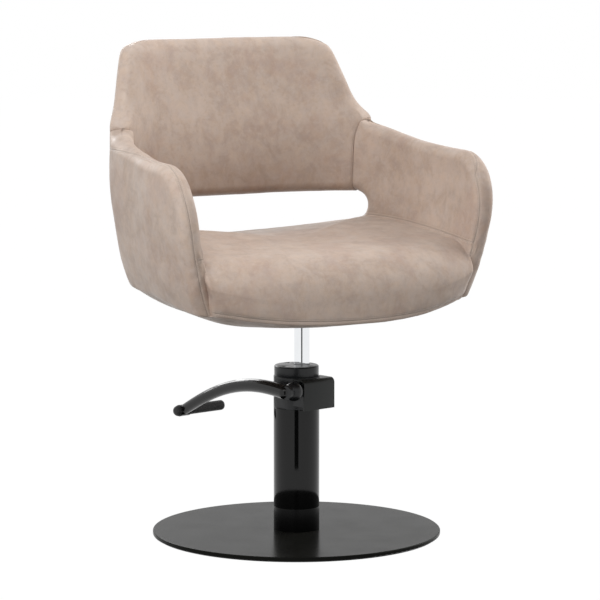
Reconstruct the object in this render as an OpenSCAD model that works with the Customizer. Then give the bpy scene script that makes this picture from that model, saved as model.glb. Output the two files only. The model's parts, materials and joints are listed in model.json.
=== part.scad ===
// Hairdressing chair: an upholstered bucket shell on a hydraulic pump column with a round floor plate.
// Millimetres. +Z is up, the origin is on the floor under the column's centre, the sitter faces -Y.

/* [Base] */
// Diameter of the round floor plate
base_d = 560; // [460:5:700]
// Thickness of the floor plate
base_t = 8; // [6:0.5:14]
// Rounding of the floor plate's edge
base_edge = 2; // [0.5:0.5:2.5]
// Thickness of the rubber mat under the plate
mat_t = 2; // [1:0.5:5]
// How far the mat stays in from the plate's edge
mat_in = 5; // [3:0.5:20]
// Circle of the screws that hold the column to the plate
foot_pcd = 58; // [52:1:62]
// Number of screws that hold the column to the plate
foot_screws = 6; // [3:1:6]

/* [Column] */
// Outside diameter of the column
column_d = 88.9; // [86:0.1:110]
// Wall of the column tube
column_wall = 3.2; // [2:0.1:4]
// Height of the turned collar at the column's foot
collar_h = 45; // [34:1:80]
// Length of the column tube between collar and pump head
tube_l = 195; // [185:1:260]
// Height of the cast pump head
head_h = 61; // [56:1:80]
// Height of the cap on the pump head
cap_h = 21; // [16:1:36]
// How much narrower the cap is than the column
cap_step = 2.4; // [1:0.1:6]

/* [Ram] */
// Diameter of the chromed ram
ram_d = 30; // [24:0.5:32]
// How far the ram stands off the column's axis, away from the pump plunger
ram_off = 14; // [10:0.5:14]
// Length of ram that shows between the cap and the seat's socket
ram_show = 80; // [73:1:90]
// Outside diameter of the pressure cylinder
cylinder_d = 50; // [46:0.5:50]
// Wall of the pressure cylinder
cylinder_wall = 4; // [3:0.5:5]
// Running clearance on the radius of shafts and of the piston
run_gap = 0.05; // [0.02:0.01:0.08]

/* [Lever] */
// Turn of the pump about the column, from a lever that points straight back
pump_turn = 11; // [-20:1:40]
// Distance of the rocker shaft's axis in front of the column's axis
shaft_y = 46; // [44:0.5:48]
// Height of the rocker shaft's axis above the foot of the pump head
shaft_up = 41; // [40:0.5:42]
// Diameter of the rocker shaft
shaft_d = 14; // [10:0.5:15]
// Distance from the rocker shaft to the line of the pump plunger
nose_reach = 18; // [16:0.5:20]
// Reach of the lever behind the rocker shaft
lever_reach = 298; // [240:1:340]
// Drop of the pedal below the rocker shaft
lever_drop = 69; // [40:1:90]
// Diameter of the lever at the elbow
lever_d = 28; // [22:0.5:30]
// Diameter of the lever at the pedal
lever_tip_d = 21; // [18:0.5:24]
// Length of the pedal bar
pedal_l = 120; // [100:1:180]
// Diameter of the pedal's rubber sleeve
pedal_d = 20; // [18:0.5:28]

/* [Shell] */
// Half of the shell's width over the arms
shell_half_w = 334; // [300:1:360]
// How far the shell draws in towards its bottom edge at each side
shell_tuck = 42; // [30:1:70]
// Depth of the shell behind the ram's axis, at the height of the arms
shell_rear = 318; // [290:1:350]
// How far in front of the ram's axis the arms end
arm_front = 154; // [140:1:190]
// How far in front of the ram's axis the seat's front edge ends
seat_front = 216; // [190:1:240]
// Recline of the back, in degrees
recline = 8.5; // [5:0.5:16]
// Thickness of the back pad
back_t = 42; // [34:1:50]
// Thickness of the arm pads at their front
arm_t = 43; // [36:1:50]
// How far each arm's top splays outwards at its front
splay = 23; // [0:1:30]
// Height of the back's top edge over the seat board
back_h = 482; // [420:1:520]
// Height at which the arms run into the back
join_h = 320; // [300:1:350]
// Height of the arms behind their front corner
arm_h = 270; // [240:1:290]
// Length of the arms' round front corner, along the arm
arm_corner = 88; // [40:1:110]
// Height of the arms' round front corner
arm_corner_h = 115; // [60:1:130]
// How far the arms' front edge leans back towards its foot
arm_lean = 17; // [0:1:30]
// Height of the seat's rear edge over the seat board
seat_h = 96; // [80:1:110]
// Clear height of the slot between seat and back
slot_h = 74; // [56:1:76]
// Rise of the shell's bottom edge at the rear
rear_rise = 10; // [4:1:30]
// Depth of the underside below the seat board
belly = 50; // [40:1:52]
// Diameter of the steel rod moulded into the pads
frame_d = 12; // [8:0.5:14]

/* [Seat mounting] */
// Thickness of the plywood seat board
board_t = 15; // [12:0.5:21]
// Thickness of the steel mounting plate
plate_t = 5; // [4:0.5:8]
// Side of the square mounting plate
plate_w = 200; // [170:1:240]
// Spacing of the four bolts through the mounting plate
bolt_pitch = 150; // [130:1:160]
// Length of the socket that takes the ram
socket_l = 38; // [30:1:44]
// Outside diameter of the socket
socket_d = 52; // [44:1:60]

/* [Hidden] */
$fn = 64;

// Heights, from the floor up.
plate_top = mat_t + base_t;
collar_top = plate_top + collar_h;
tube_top = collar_top + tube_l;
head_top = tube_top + head_h;
cap_top = head_top + cap_h;
socket_z = cap_top + ram_show;
mount_z = socket_z + socket_l;
board_z = mount_z + plate_t;
seat_z = board_z + board_t;

// Column and ram fits.
column_r = column_d / 2;
bore_r = column_r - column_wall;
spigot_gap = 0.05;
spigot_h = 12;
cylinder_r = cylinder_d / 2;
cylinder_in = cylinder_r - cylinder_wall;
cylinder_foot = collar_top - 10;
plug_h = 14;
ram_r = ram_d / 2;
bush_wall = 3;
bush_r = ram_r + run_gap + bush_wall;
wiper_wall = 6;
wiper_gap = 0.4;
piston_top = tube_top - 84;
piston_h = 24;
stem_r = 9;
washer_t = 2;

// Pump linkage, in the pump's own frame: X along the rocker shaft, Y towards the pedal.
shaft_z = tube_top + shaft_up;
shaft_r = shaft_d / 2;
ear_gap = 12.5;
ear_left = -34;
ear_right = 30;
ear_front = shaft_y + 11;
ear_base = tube_top + 8;
ear_top = shaft_z + 12;
flat_x = column_r - 4;
nose_r = 6;
lift_gap = 0.3;
plunger_y = nose_reach - shaft_y;
plunger_r = 5;
plunger_top = shaft_z - nose_r - lift_gap;
plunger_l = 26;
pocket_back = 8.5;
pressure_bore_r = plunger_r + 0.3;
pressure_bore_h = 8;
sleeve_r = 8;
sleeve_h = 14;
sleeve_top = tube_top + 18;
hub_r = lever_d / 2 + 0.5;
hub_l = 20;
hub_x = ear_left - 3;
elbow_x = hub_x - hub_l - 15;
cover_wall = 2.5;
cover_left = ear_left - 1;
cover_right = 44;
cover_front = shaft_y + 15;
cover_top = head_top - 1;
cover_round = 10;
pedal_rod_r = 6;
pedal_left = 17;
pedal_y = lever_reach - shaft_y + 4;
pedal_z = shaft_z - lever_drop - 2;
eye_l = lever_tip_d + 2;

// Shell outline, in the shell's own frame: origin at the ram's axis on top of the seat board.
shoulder_y = 60;
corner_n = 3;
tuck_n = 2.5;
splay_from = 0.75;
splay_low = 0.62;
lean_h = 150;
lean_n = 1.5;
arm_rise_n = 1.75;
low_h = -3;
rear_tuck = 10;
wide_h = arm_h + 11;
seam_t = 0.648;
slot_end_t = 0.715;
seam_gap_t = 0.003;
back_narrow_t = 0.145;
back_narrow_n = 1.17;
flare_t = 0.042;
flare_up = 50;
flare_down = 60;
neck_h = 220;
neck_in = 0.06;
top_corner_t = 0.11;
top_corner_h = 28;
arm_turn_y = -arm_front + arm_corner;
join_y = 236;
slot_low_rise = 18;
slot_top_rise = 1;
slot_top_h = seat_h + slot_h;
slot_end_h = (seat_h + slot_low_rise + slot_top_h + slot_top_rise) / 2;
slot_end_r = slot_top_h + slot_top_rise - slot_end_h;
rim_share = 0.46;
rim_min = 1.2;
quarter_mm = 470;
lip_h = 30;
apron_t = 28;
rear_n = 12;
seat_side_h = 102;

function unit(v) = v / norm(v);

// Half width and rear depth of the outer surface at height z.
function draw_in(z) = max(0, (wide_h - z) / (wide_h - low_h));
function half_w(z) = shell_half_w - shell_tuck * pow(draw_in(z), tuck_n) - neck_in * max(0, z - neck_h);
function rear_y(z) = shell_rear + tan(recline) * (z - wide_h) - rear_tuck * pow(draw_in(z), 5);

// A point of the shell: t is 0 at the rear centre, 1 where the side straightens and 2 at the arm's front,
// z is the height over the seat board and e the distance in from the outer surface.
function side_y(t) = shoulder_y - (t - 1) * (shoulder_y + arm_front);
function ease(x) = let (c = max(0, min(1, x))) c * c * (3 - 2 * c);
function splay_at(t, z) = splay * ease((t - splay_from) / splay_from)
  * (splay_low + (1 - splay_low) * max(0, min(1, z / arm_h)));
function lean_at(z) = arm_lean * pow(max(0, 1 - z / lean_h), lean_n);
function corner_x(a, w, d) = sin(a) / pow(pow(sin(a) / w, corner_n) + pow(cos(a) / d, corner_n), 1 / corner_n);
function corner_y(a, w, d) = cos(a) / pow(pow(sin(a) / w, corner_n) + pow(cos(a) / d, corner_n), 1 / corner_n);
function shell_pt(t, z, e) =
  let (s = t < 0 ? -1 : 1, k = abs(t), w = half_w(z) + splay_at(k, z) - e, d = rear_y(z) - shoulder_y - e)
  k < 1 ? [s * corner_x(90 * k, w, d), shoulder_y + corner_y(90 * k, w, d), z] : [s * w, side_y(k) + (k - 1) * lean_at(z), z];

// Rails of the shell: bottom edge, arm top, slot edges, back edge.
function low_edge(t) = rear_rise + (low_h - rear_rise) * ease((abs(t) - 0.5) / 1.3);
function arm_rise(y) = (join_h - arm_h) * pow((y - arm_turn_y) / (join_y - arm_turn_y), arm_rise_n);
function arm_fall(y) = arm_corner_h * (1 - sqrt(max(0, 1 - pow((arm_turn_y - y) / arm_corner, 2))));
function arm_top(y) = y > arm_turn_y ? arm_h + arm_rise(y) : arm_h - arm_fall(y);
function slot_low(t) = seat_h + slot_low_rise * pow(abs(t) / seam_t, 2);
function slot_top(t) = slot_top_h + slot_top_rise * pow(t / seam_t, 2);
function corner_cut(z) = let (q = max(0, (z - back_h + top_corner_h) / top_corner_h)) 1 - sqrt(max(0, 1 - q * q));
function flare(z) = flare_t * pow(max(0, 1 - abs(z - join_h) / (z > join_h ? flare_up : flare_down)), 2);
function back_edge(z) = seam_t + flare(z) - back_narrow_t * pow(max(0, z - join_h) / (back_h - join_h), back_narrow_n)
  - top_corner_t * corner_cut(z);

// Places of the arm pads' columns, from the back seam to the front; the seat's sides use the same ones.
arm_cols = concat(
  [for (k = [0:6]) seam_t + seam_gap_t + (1 - seam_t - seam_gap_t) * k / 6],
  [for (k = [1:4]) 1 + (shoulder_y - arm_turn_y) / (shoulder_y + arm_front) * k / 4],
  [for (a = [20, 40, 55, 70, 80, 90])
    1 + (shoulder_y - arm_turn_y + arm_corner * sin(a)) / (shoulder_y + arm_front)]
);

// Thickness of the pads along the shell, and half of it at distance d from a free edge.
function pad_at(t) = back_t + (arm_t - back_t) * ease((abs(t) - seam_t) / 0.8);
function pad_half(d, thick) =
  let (q = 1 - min(1, max(0, d) / (thick * rim_share))) max(rim_min, thick / 2 * sqrt(max(0, 1 - q * q)));

// Faces of a closed sheet: two grids of n by m points, outer then inner, joined round their edges.
function sheet_at(s, i, j, n, m) = s * n * m + i * m + j;
function quad(a, b, c, d, flip) = flip ? [[a, c, b], [a, d, c]] : [[a, b, c], [a, c, d]];
function sheet_faces(n, m, flip) = concat(
  [for (i = [0:n - 2], j = [0:m - 2]) each quad(sheet_at(0, i, j, n, m), sheet_at(0, i, j + 1, n, m),
    sheet_at(0, i + 1, j + 1, n, m), sheet_at(0, i + 1, j, n, m), flip)],
  [for (i = [0:n - 2], j = [0:m - 2]) each quad(sheet_at(1, i, j, n, m), sheet_at(1, i + 1, j, n, m),
    sheet_at(1, i + 1, j + 1, n, m), sheet_at(1, i, j + 1, n, m), flip)],
  [for (i = [0:n - 2]) each quad(sheet_at(0, i, 0, n, m), sheet_at(0, i + 1, 0, n, m),
    sheet_at(1, i + 1, 0, n, m), sheet_at(1, i, 0, n, m), flip)],
  [for (i = [0:n - 2]) each quad(sheet_at(0, i, m - 1, n, m), sheet_at(1, i, m - 1, n, m),
    sheet_at(1, i + 1, m - 1, n, m), sheet_at(0, i + 1, m - 1, n, m), flip)],
  [for (j = [0:m - 2]) each quad(sheet_at(0, 0, j, n, m), sheet_at(1, 0, j, n, m),
    sheet_at(1, 0, j + 1, n, m), sheet_at(0, 0, j + 1, n, m), flip)],
  [for (j = [0:m - 2]) each quad(sheet_at(0, n - 1, j, n, m), sheet_at(0, n - 1, j + 1, n, m),
    sheet_at(1, n - 1, j + 1, n, m), sheet_at(1, n - 1, j, n, m), flip)]
);
module sheet(outer, inner, flip = false) {
  n = len(outer);
  m = len(outer[0]);
  polyhedron(points = [for (s = [outer, inner], c = s, p = c) p], faces = sheet_faces(n, m, flip));
}

// A closed solid of rings, each a list of the same number of points, with a centre point at each end.
module ring_solid(rings, top, bottom) {
  n = len(rings[0]);
  m = len(rings);
  pts = concat([for (r = rings, p = r) p], [top, bottom]);
  walls = [for (k = [0:m - 2], i = [0:n - 1])
    each quad(k * n + i, k * n + (i + 1) % n, (k + 1) * n + (i + 1) % n, (k + 1) * n + i, true)];
  lid = [for (i = [0:n - 1]) [m * n, i, (i + 1) % n]];
  floor = [for (i = [0:n - 1]) [m * n + 1, (m - 1) * n + (i + 1) % n, (m - 1) * n + i]];
  polyhedron(points = pts, faces = concat(walls, lid, floor));
}

// A closed band of rings, the last joined to the first.
module ring_band(rings) {
  n = len(rings[0]);
  m = len(rings);
  walls = [for (k = [0:m - 1], i = [0:n - 1])
    each quad(k * n + i, k * n + (i + 1) % n, ((k + 1) % m) * n + (i + 1) % n, ((k + 1) % m) * n + i, false)];
  polyhedron(points = [for (r = rings, p = r) p], faces = walls);
}

// A round bar swept along points, with a radius at each point; side is never along the path.
function tangent(p, i) = unit(p[min(i + 1, len(p) - 1)] - p[max(i - 1, 0)]);
function sweep_ring(p, i, r, side, sides) =
  let (t = tangent(p, i), u = unit(cross(t, side[i])), v = cross(t, u))
  [for (k = [0:sides - 1]) p[i] + r * (cos(360 * k / sides) * u + sin(360 * k / sides) * v)];
module sweep(p, radii, side, sides) {
  rings = [for (i = [0:len(p) - 1]) sweep_ring(p, i, radii[i], side, sides)];
  ring_solid(rings, p[0], p[len(p) - 1]);
}

// Places.
module at_pump() { rotate([0, 0, pump_turn]) children(); }
module at_ram() { at_pump() translate([ram_off, 0, 0]) children(); }
ram_pos = [ram_off * cos(pump_turn), ram_off * sin(pump_turn), 0];
module at_shell() { translate(ram_pos + [0, 0, seat_z]) children(); }
module along_x(x, y, z) { translate([x, y, z]) rotate([0, 90, 0]) children(); }

// A turned ring with its outer top edge rounded or chamfered by c.
module turned(r, h, c, hole = 0) {
  rotate_extrude($fn = 96)
    polygon([[hole, 0], [r, 0], [r, h - c], [r - c, h], [hole, h]]);
}

module floor_mat() {
  color("#1d1d1d") cylinder(d = base_d - 2 * mat_in, h = mat_t, $fn = 128);
}

module foot_places() {
  for (k = [0:foot_screws - 1])
    rotate([0, 0, 360 * k / foot_screws]) translate([foot_pcd / 2, 0, 0]) children();
}

screw_r = 4;
screw_head_r = 7.5;
screw_head_h = 4;
screw_l = 26;

module base_plate() {
  color("#26272a")
    difference() {
      translate([0, 0, mat_t])
        rotate_extrude($fn = 160)
          difference() {
            union() {
              square([base_d / 2 - base_edge, base_t]);
              translate([0, base_edge]) square([base_d / 2, base_t - 2 * base_edge]);
              translate([base_d / 2 - base_edge, base_edge]) circle(r = base_edge, $fn = 32);
              translate([base_d / 2 - base_edge, base_t - base_edge]) circle(r = base_edge, $fn = 32);
            }
            translate([-base_d, -1]) square([base_d, base_t + 2]);
          }
      foot_places() {
        translate([0, 0, mat_t - 1]) cylinder(r = screw_r + 0.3, h = base_t + 2);
        translate([0, 0, mat_t - 1]) cylinder(r = screw_head_r + 0.3, h = screw_head_h + 1);
      }
    }
}

module foot_screws() {
  color("#8a8c8f")
    foot_places()
      translate([0, 0, mat_t])
        difference() {
          union() {
            cylinder(r = screw_head_r, h = screw_head_h);
            cylinder(r = screw_r, h = screw_l);
          }
          translate([0, 0, -1]) cylinder(r = 3, h = 3.5, $fn = 6);
        }
}

module foot_collar() {
  color("#151617")
    difference() {
      union() {
        translate([0, 0, plate_top]) turned(column_r, collar_h, 0.6);
        translate([0, 0, collar_top]) cylinder(r = bore_r - spigot_gap, h = spigot_h);
      }
      at_ram() translate([0, 0, cylinder_foot]) cylinder(r = cylinder_r + spigot_gap, h = spigot_h + 12);
      foot_places() translate([0, 0, mat_t]) cylinder(r = screw_r + 0.02, h = screw_l + 2);
    }
}

module column_tube() {
  color("#0e0f10")
    translate([0, 0, collar_top])
      difference() {
        cylinder(r = column_r, h = tube_l, $fn = 96);
        translate([0, 0, -1]) cylinder(r = bore_r, h = tube_l + 2, $fn = 96);
      }
}

module pressure_cylinder() {
  color("#a4a6a8")
    at_ram()
      difference() {
        translate([0, 0, cylinder_foot]) cylinder(r = cylinder_r, h = tube_top - cylinder_foot - 4);
        translate([0, 0, cylinder_foot - 1]) cylinder(r = cylinder_in, h = tube_top);
      }
}

module cylinder_plug() {
  color("#77797b")
    at_ram()
      translate([0, 0, cylinder_foot])
        difference() {
          cylinder(r = cylinder_in - 0.02, h = plug_h);
          translate([0, 0, 4]) cylinder(r = 4, h = plug_h);
        }
}

module pump_head() {
  color("#121314")
    difference() {
      union() {
        translate([0, 0, tube_top]) cylinder(r = column_r, h = head_h, $fn = 96);
        translate([0, 0, tube_top - spigot_h]) cylinder(r = bore_r - spigot_gap, h = spigot_h + 1);
        at_pump()
          translate([ear_left, -ear_front, ear_base])
            cube([ear_right - ear_left, ear_front - 20, ear_top - ear_base]);
      }
      at_ram() translate([0, 0, tube_top - spigot_h - 1]) cylinder(r = bush_r, h = head_h + spigot_h + 2);
      at_ram() translate([0, 0, tube_top - spigot_h - 1]) cylinder(r = cylinder_r + spigot_gap, h = spigot_h - 3);
      at_pump() {
        // flat cheek beside the lever hub
        translate([-column_r - 10, -column_r, tube_top])
          cube([column_r + 10 - flat_x, column_d, head_h + 1]);
        // pocket for the rocker
        translate([-ear_gap, -ear_front - 1, sleeve_top])
          cube([2 * ear_gap, ear_front + 1 + plunger_y + pocket_back, ear_top + 1 - sleeve_top]);
        along_x(ear_left - 1, -shaft_y, shaft_z) cylinder(r = shaft_r + run_gap, h = ear_right - ear_left + 2);
        translate([0, plunger_y, sleeve_top - sleeve_h]) cylinder(r = sleeve_r, h = sleeve_h + 1);
        // pressure chamber under the plunger
        translate([0, plunger_y, sleeve_top - sleeve_h - pressure_bore_h])
          cylinder(r = pressure_bore_r, h = pressure_bore_h + 1);
        for (z = cover_screw_z)
          along_x(ear_right - cover_screw_l, cover_screw_y, z) cylinder(r = cover_screw_r + 0.02, h = cover_screw_l + 5);
        cap_places() translate([0, 0, head_top - cap_screw_grip])
          cylinder(r = cap_screw_r + 0.02, h = cap_screw_grip + 1);
      }
    }
}

module rod_bush() {
  color("#b08d57")
    at_ram()
      translate([0, 0, tube_top - 4])
        difference() {
          cylinder(r = bush_r, h = head_h + 4);
          translate([0, 0, -1]) cylinder(r = ram_r + run_gap, h = head_h + 6);
        }
}

module cap_places() {
  for (a = [80, 180, 280]) rotate([0, 0, a]) translate([34, 0, 0]) children();
}

cap_screw_r = 2.5;
cap_screw_head = 4.6;
cap_screw_grip = 6;

module head_cap() {
  color("#101112")
    translate([0, 0, head_top])
      difference() {
        turned(column_r - cap_step / 2, cap_h, 2);
        at_ram() translate([0, 0, -1]) cylinder(r = ram_r + wiper_wall, h = cap_h - 5);
        at_ram() translate([0, 0, -1]) cylinder(r = ram_r + 1, h = cap_h + 2);
        at_pump() cap_places() {
          translate([0, 0, -1]) cylinder(r = cap_screw_r, h = cap_h + 2);
          translate([0, 0, cap_h - 4]) cylinder(r = cap_screw_head + 0.3, h = 5);
        }
      }
}

module rod_wiper() {
  color("#202020")
    at_ram()
      translate([0, 0, head_top])
        difference() {
          cylinder(r = ram_r + wiper_wall, h = cap_h - 6);
          translate([0, 0, -1]) cylinder(r = ram_r + wiper_gap, h = cap_h);
        }
}

module cap_screws() {
  color("#2a2b2d")
    at_pump() cap_places()
      translate([0, 0, head_top])
        difference() {
          union() {
            translate([0, 0, -cap_screw_grip]) cylinder(r = cap_screw_r, h = cap_h + cap_screw_grip - 2);
            translate([0, 0, cap_h - 4]) cylinder(r = cap_screw_head, h = 3.5);
          }
          translate([0, 0, cap_h - 2.5]) cylinder(r = 2, h = 3, $fn = 6);
        }
}

// Outline of the side cover seen along the rocker shaft, with its upper front edge rounded.
module cover_profile(in) {
  x = cover_front - in;
  top = cover_top - in;
  r = cover_round - in;
  translate([-x + r, top - r]) circle(r = r, $fn = 48);
  translate([-x, tube_top + 1]) square([x - 20, top - r - tube_top - 1]);
  translate([-x + r, tube_top + 1]) square([x - r - 20, top - tube_top - 1]);
}

module side_cover() {
  color("#0f1011")
    difference() {
      at_pump()
        difference() {
          translate([cover_left, 0, 0]) rotate([90, 0, 90])
            linear_extrude(height = cover_right - cover_left) cover_profile(0);
          translate([cover_left - 1, 0, 0]) rotate([90, 0, 90])
            linear_extrude(height = cover_right - cover_left - cover_wall + 1) cover_profile(cover_wall);
          translate([cover_left - 1, -cover_front + cover_wall, tube_top])
            cube([cover_right - cover_left - cover_wall + 1, cover_front, 8]);
          for (z = cover_screw_z) along_x(cover_right - 10, cover_screw_y, z) cylinder(r = cover_screw_r + 0.2, h = 20);
          along_x(cover_left - 1, -shaft_y, shaft_z) cylinder(r = shaft_r + 1, h = 12);
        }
      translate([0, 0, tube_top - 1]) cylinder(r = column_r + 0.3, h = head_h + 2, $fn = 96);
    }
}

cover_screw_z = [tube_top + 16, tube_top + 44];
cover_screw_y = -31;
cover_screw_r = 2;
cover_screw_l = 8;

module cover_screws() {
  color("#3a3b3d")
    at_pump()
      for (z = cover_screw_z)
        along_x(ear_right - cover_screw_l, cover_screw_y, z) {
          cylinder(r = cover_screw_r, h = cover_right - ear_right + cover_screw_l + 1);
          translate([0, 0, cover_right - ear_right + cover_screw_l]) cylinder(r = 3.8, h = 2.2);
        }
}

module plunger_sleeve() {
  color("#b9975b")
    at_pump()
      translate([0, plunger_y, sleeve_top - sleeve_h])
        difference() {
          cylinder(r = sleeve_r, h = sleeve_h);
          translate([0, 0, -1]) cylinder(r = plunger_r + run_gap, h = sleeve_h + 2);
        }
}

// Return spring of the plunger, coiled as one tube between the sleeve and the plunger's collar.
spring_wire_r = 0.8;
spring_r = 6.9;
spring_turns = 4;
plunger_collar_h = 3;
spring_low = sleeve_top + spring_wire_r;
spmat_tigh = plunger_top - plunger_collar_h - spring_wire_r;
spring_steps = 20 * spring_turns;

module return_spring() {
  p = [for (i = [0:spring_steps])
    [spring_r * cos(18 * i), plunger_y + spring_r * sin(18 * i), spring_low + (spmat_tigh - spring_low) * i / spring_steps]];
  side = [for (i = [0:spring_steps]) [0, 0, 1]];
  radii = [for (i = [0:spring_steps]) spring_wire_r];
  color("#9a9ca0") at_pump() sweep(p, radii, side, 6);
}

module pump_plunger() {
  color("#c3c5c8")
    at_pump()
      translate([0, plunger_y, 0]) {
        translate([0, 0, plunger_top - plunger_l]) cylinder(r = plunger_r, h = plunger_l);
        translate([0, 0, plunger_top - plunger_collar_h]) cylinder(r = 8, h = plunger_collar_h);
      }
}

module rocker_shaft() {
  color("#aeb0b3")
    at_pump()
      along_x(hub_x - hub_l, -shaft_y, shaft_z) cylinder(r = shaft_r, h = ear_right - hub_x + hub_l);
}

module rocker_arm() {
  color("#6d6f72")
    at_pump()
      difference() {
        union() {
          along_x(-ear_gap + 0.5, -shaft_y, shaft_z) cylinder(r = 11.5, h = 2 * ear_gap - 1);
          along_x(-7, plunger_y, shaft_z) cylinder(r = nose_r, h = 14);
          translate([-7, -shaft_y, shaft_z - nose_r]) cube([14, nose_reach, 2 * nose_r]);
        }
        along_x(-ear_gap, -shaft_y, shaft_z) cylinder(r = shaft_r + 0.02, h = 2 * ear_gap);
      }
}

module lever_hub() {
  color("#131415")
    at_pump()
      difference() {
        along_x(hub_x - hub_l, -shaft_y, shaft_z)
          rotate_extrude($fn = 64)
            polygon(concat([[0, 0]], [for (a = [0:15:90]) [hub_r - 5 + 5 * sin(a), 5 - 5 * cos(a)]],
              [for (a = [0:15:90]) [hub_r - 5 + 5 * cos(a), hub_l - 5 + 5 * sin(a)]], [[0, hub_l]]));
        along_x(hub_x - hub_l - 1, -shaft_y, shaft_z) cylinder(r = shaft_r + 0.02, h = hub_l + 2);
        translate([hub_x - hub_l / 2, -shaft_y, shaft_z - hub_r - 1]) cylinder(r = 3, h = hub_r - shaft_r + 1);
      }
}

module hub_screw() {
  color("#2c2d2f")
    at_pump()
      translate([hub_x - hub_l / 2, -shaft_y, shaft_z - hub_r + 1])
        difference() {
          cylinder(r = 2.98, h = hub_r - shaft_r - 1.2);
          translate([0, 0, -1]) cylinder(r = 1.5, h = 4, $fn = 6);
        }
}

// Centre line of the lever: one cubic curve from the elbow to the pedal's eye.
function bezier(a, b, c, d, s) =
  pow(1 - s, 3) * a + 3 * pow(1 - s, 2) * s * b + 3 * (1 - s) * s * s * c + pow(s, 3) * d;
lever_a = [elbow_x, -shaft_y, shaft_z];
lever_b = [elbow_x, -shaft_y + lever_reach * 0.36, shaft_z + 13];
lever_c = [elbow_x, -shaft_y + lever_reach * 0.62, shaft_z - 5];
lever_d_end = [elbow_x, -shaft_y + lever_reach, shaft_z - lever_drop];
lever_steps = 22;

module lever_arm() {
  p = [for (i = [0:lever_steps]) bezier(lever_a, lever_b, lever_c, lever_d_end, i / lever_steps)];
  radii = [for (i = [0:lever_steps]) (lever_d + (lever_tip_d - lever_d) * i / lever_steps) / 2];
  side = [for (i = [0:lever_steps]) [1, 0, 0]];
  color("#101112")
    at_pump()
      difference() {
        union() {
          sweep(p, radii, side, 24);
          translate(lever_a) sphere(r = lever_d / 2, $fn = 48);
          along_x(elbow_x, -shaft_y, shaft_z) cylinder(r = hub_r - 5, h = hub_x - hub_l - elbow_x);
          along_x(elbow_x - eye_l / 2, pedal_y, pedal_z) cylinder(r = lever_tip_d / 2 + 1, h = eye_l);
        }
        along_x(elbow_x - eye_l, pedal_y, pedal_z) cylinder(r = pedal_rod_r + 0.02, h = 2 * eye_l);
      }
}

module pedal_bar() {
  color("#1a1b1c")
    at_pump()
      along_x(elbow_x - pedal_left, pedal_y, pedal_z) cylinder(r = pedal_rod_r, h = pedal_l - 6);
}

module pedal_sleeve() {
  x = elbow_x + eye_l / 2;
  l = pedal_l - pedal_left - eye_l / 2;
  color("#17181a")
    at_pump()
      difference() {
        along_x(x, pedal_y, pedal_z)
          rotate_extrude($fn = 48)
            polygon(concat([[0, 0], [pedal_d / 2 - 1, 0], [pedal_d / 2, 2]],
              [for (a = [0:15:90]) [pedal_d / 2 - 6 + 6 * cos(a), l - 6 + 6 * sin(a)]], [[0, l]]));
        along_x(x - 1, pedal_y, pedal_z) cylinder(r = pedal_rod_r + 0.02, h = l - 5);
      }
}

module pedal_knob() {
  color("#121314")
    at_pump()
      difference() {
        translate([elbow_x - pedal_left + 4, pedal_y, pedal_z]) sphere(r = pedal_d / 2 + 0.6, $fn = 48);
        along_x(elbow_x - pedal_left, pedal_y, pedal_z) cylinder(r = pedal_rod_r + 0.02, h = 40);
        along_x(elbow_x - eye_l / 2, pedal_y, pedal_z) cylinder(r = pedal_d, h = 40);
      }
}

seal_w = 4;
seal_depth = 3;

module piston_head() {
  color("#8f9194")
    at_ram()
      difference() {
        translate([0, 0, piston_top - piston_h]) cylinder(r = cylinder_in - run_gap, h = piston_h);
        translate([0, 0, piston_top - piston_h - 1]) cylinder(r = stem_r + run_gap, h = piston_h + 2);
        for (z = [5, piston_h - 5 - seal_w])
          translate([0, 0, piston_top - piston_h + z])
            difference() {
              cylinder(r = cylinder_in + 1, h = seal_w);
              translate([0, 0, -1]) cylinder(r = cylinder_in - seal_depth, h = seal_w + 2);
            }
      }
}

module piston_seals() {
  color("#2b2b2b")
    at_ram()
      for (z = [5, piston_h - 5 - seal_w])
        translate([0, 0, piston_top - piston_h + z])
          difference() {
            cylinder(r = cylinder_in - run_gap, h = seal_w);
            translate([0, 0, -1]) cylinder(r = cylinder_in - seal_depth, h = seal_w + 2);
          }
}

module thrust_washer() {
  color("#b08d57")
    at_ram()
      translate([0, 0, piston_top])
        difference() {
          cylinder(r = ram_r - 0.5, h = washer_t);
          translate([0, 0, -1]) cylinder(r = stem_r + run_gap, h = washer_t + 2);
        }
}

module ram_rod() {
  color("#d9dbde")
    at_ram() {
      translate([0, 0, piston_top + washer_t]) cylinder(r = ram_r, h = mount_z - piston_top - washer_t, $fn = 96);
      translate([0, 0, piston_top - piston_h - 4]) cylinder(r = stem_r, h = piston_h + washer_t + 5);
      translate([0, 0, piston_top - piston_h - 4]) cylinder(r = stem_r + 3, h = 3.7);
    }
}

module ram_socket() {
  color("#2b2c2e")
    at_ram()
      translate([0, 0, socket_z])
        difference() {
          turned_down(socket_d / 2, socket_l, 4);
          translate([0, 0, -1]) cylinder(r = ram_r + 0.02, h = socket_l + 2);
        }
}

// The same as turned, with the chamfer at its foot.
module turned_down(r, h, c) {
  translate([0, 0, h]) mirror([0, 0, 1]) turned(r, h, c);
}

module bolt_places() {
  for (x = [-1, 1], y = [-1, 1]) translate([x * bolt_pitch / 2, y * bolt_pitch / 2, 0]) children();
}

bolt_r = 4;

module mount_plate() {
  color("#303134")
    translate(ram_pos + [0, 0, mount_z])
      difference() {
        linear_extrude(height = plate_t)
          difference() {
            square(plate_w, center = true);
            for (a = [0:90:270])
              rotate([0, 0, a]) translate([plate_w / 2, plate_w / 2]) rotate([0, 0, 45]) square(24, center = true);
          }
        bolt_places() translate([0, 0, -1]) cylinder(r = bolt_r + 0.5, h = plate_t + 2);
      }
}

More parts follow.
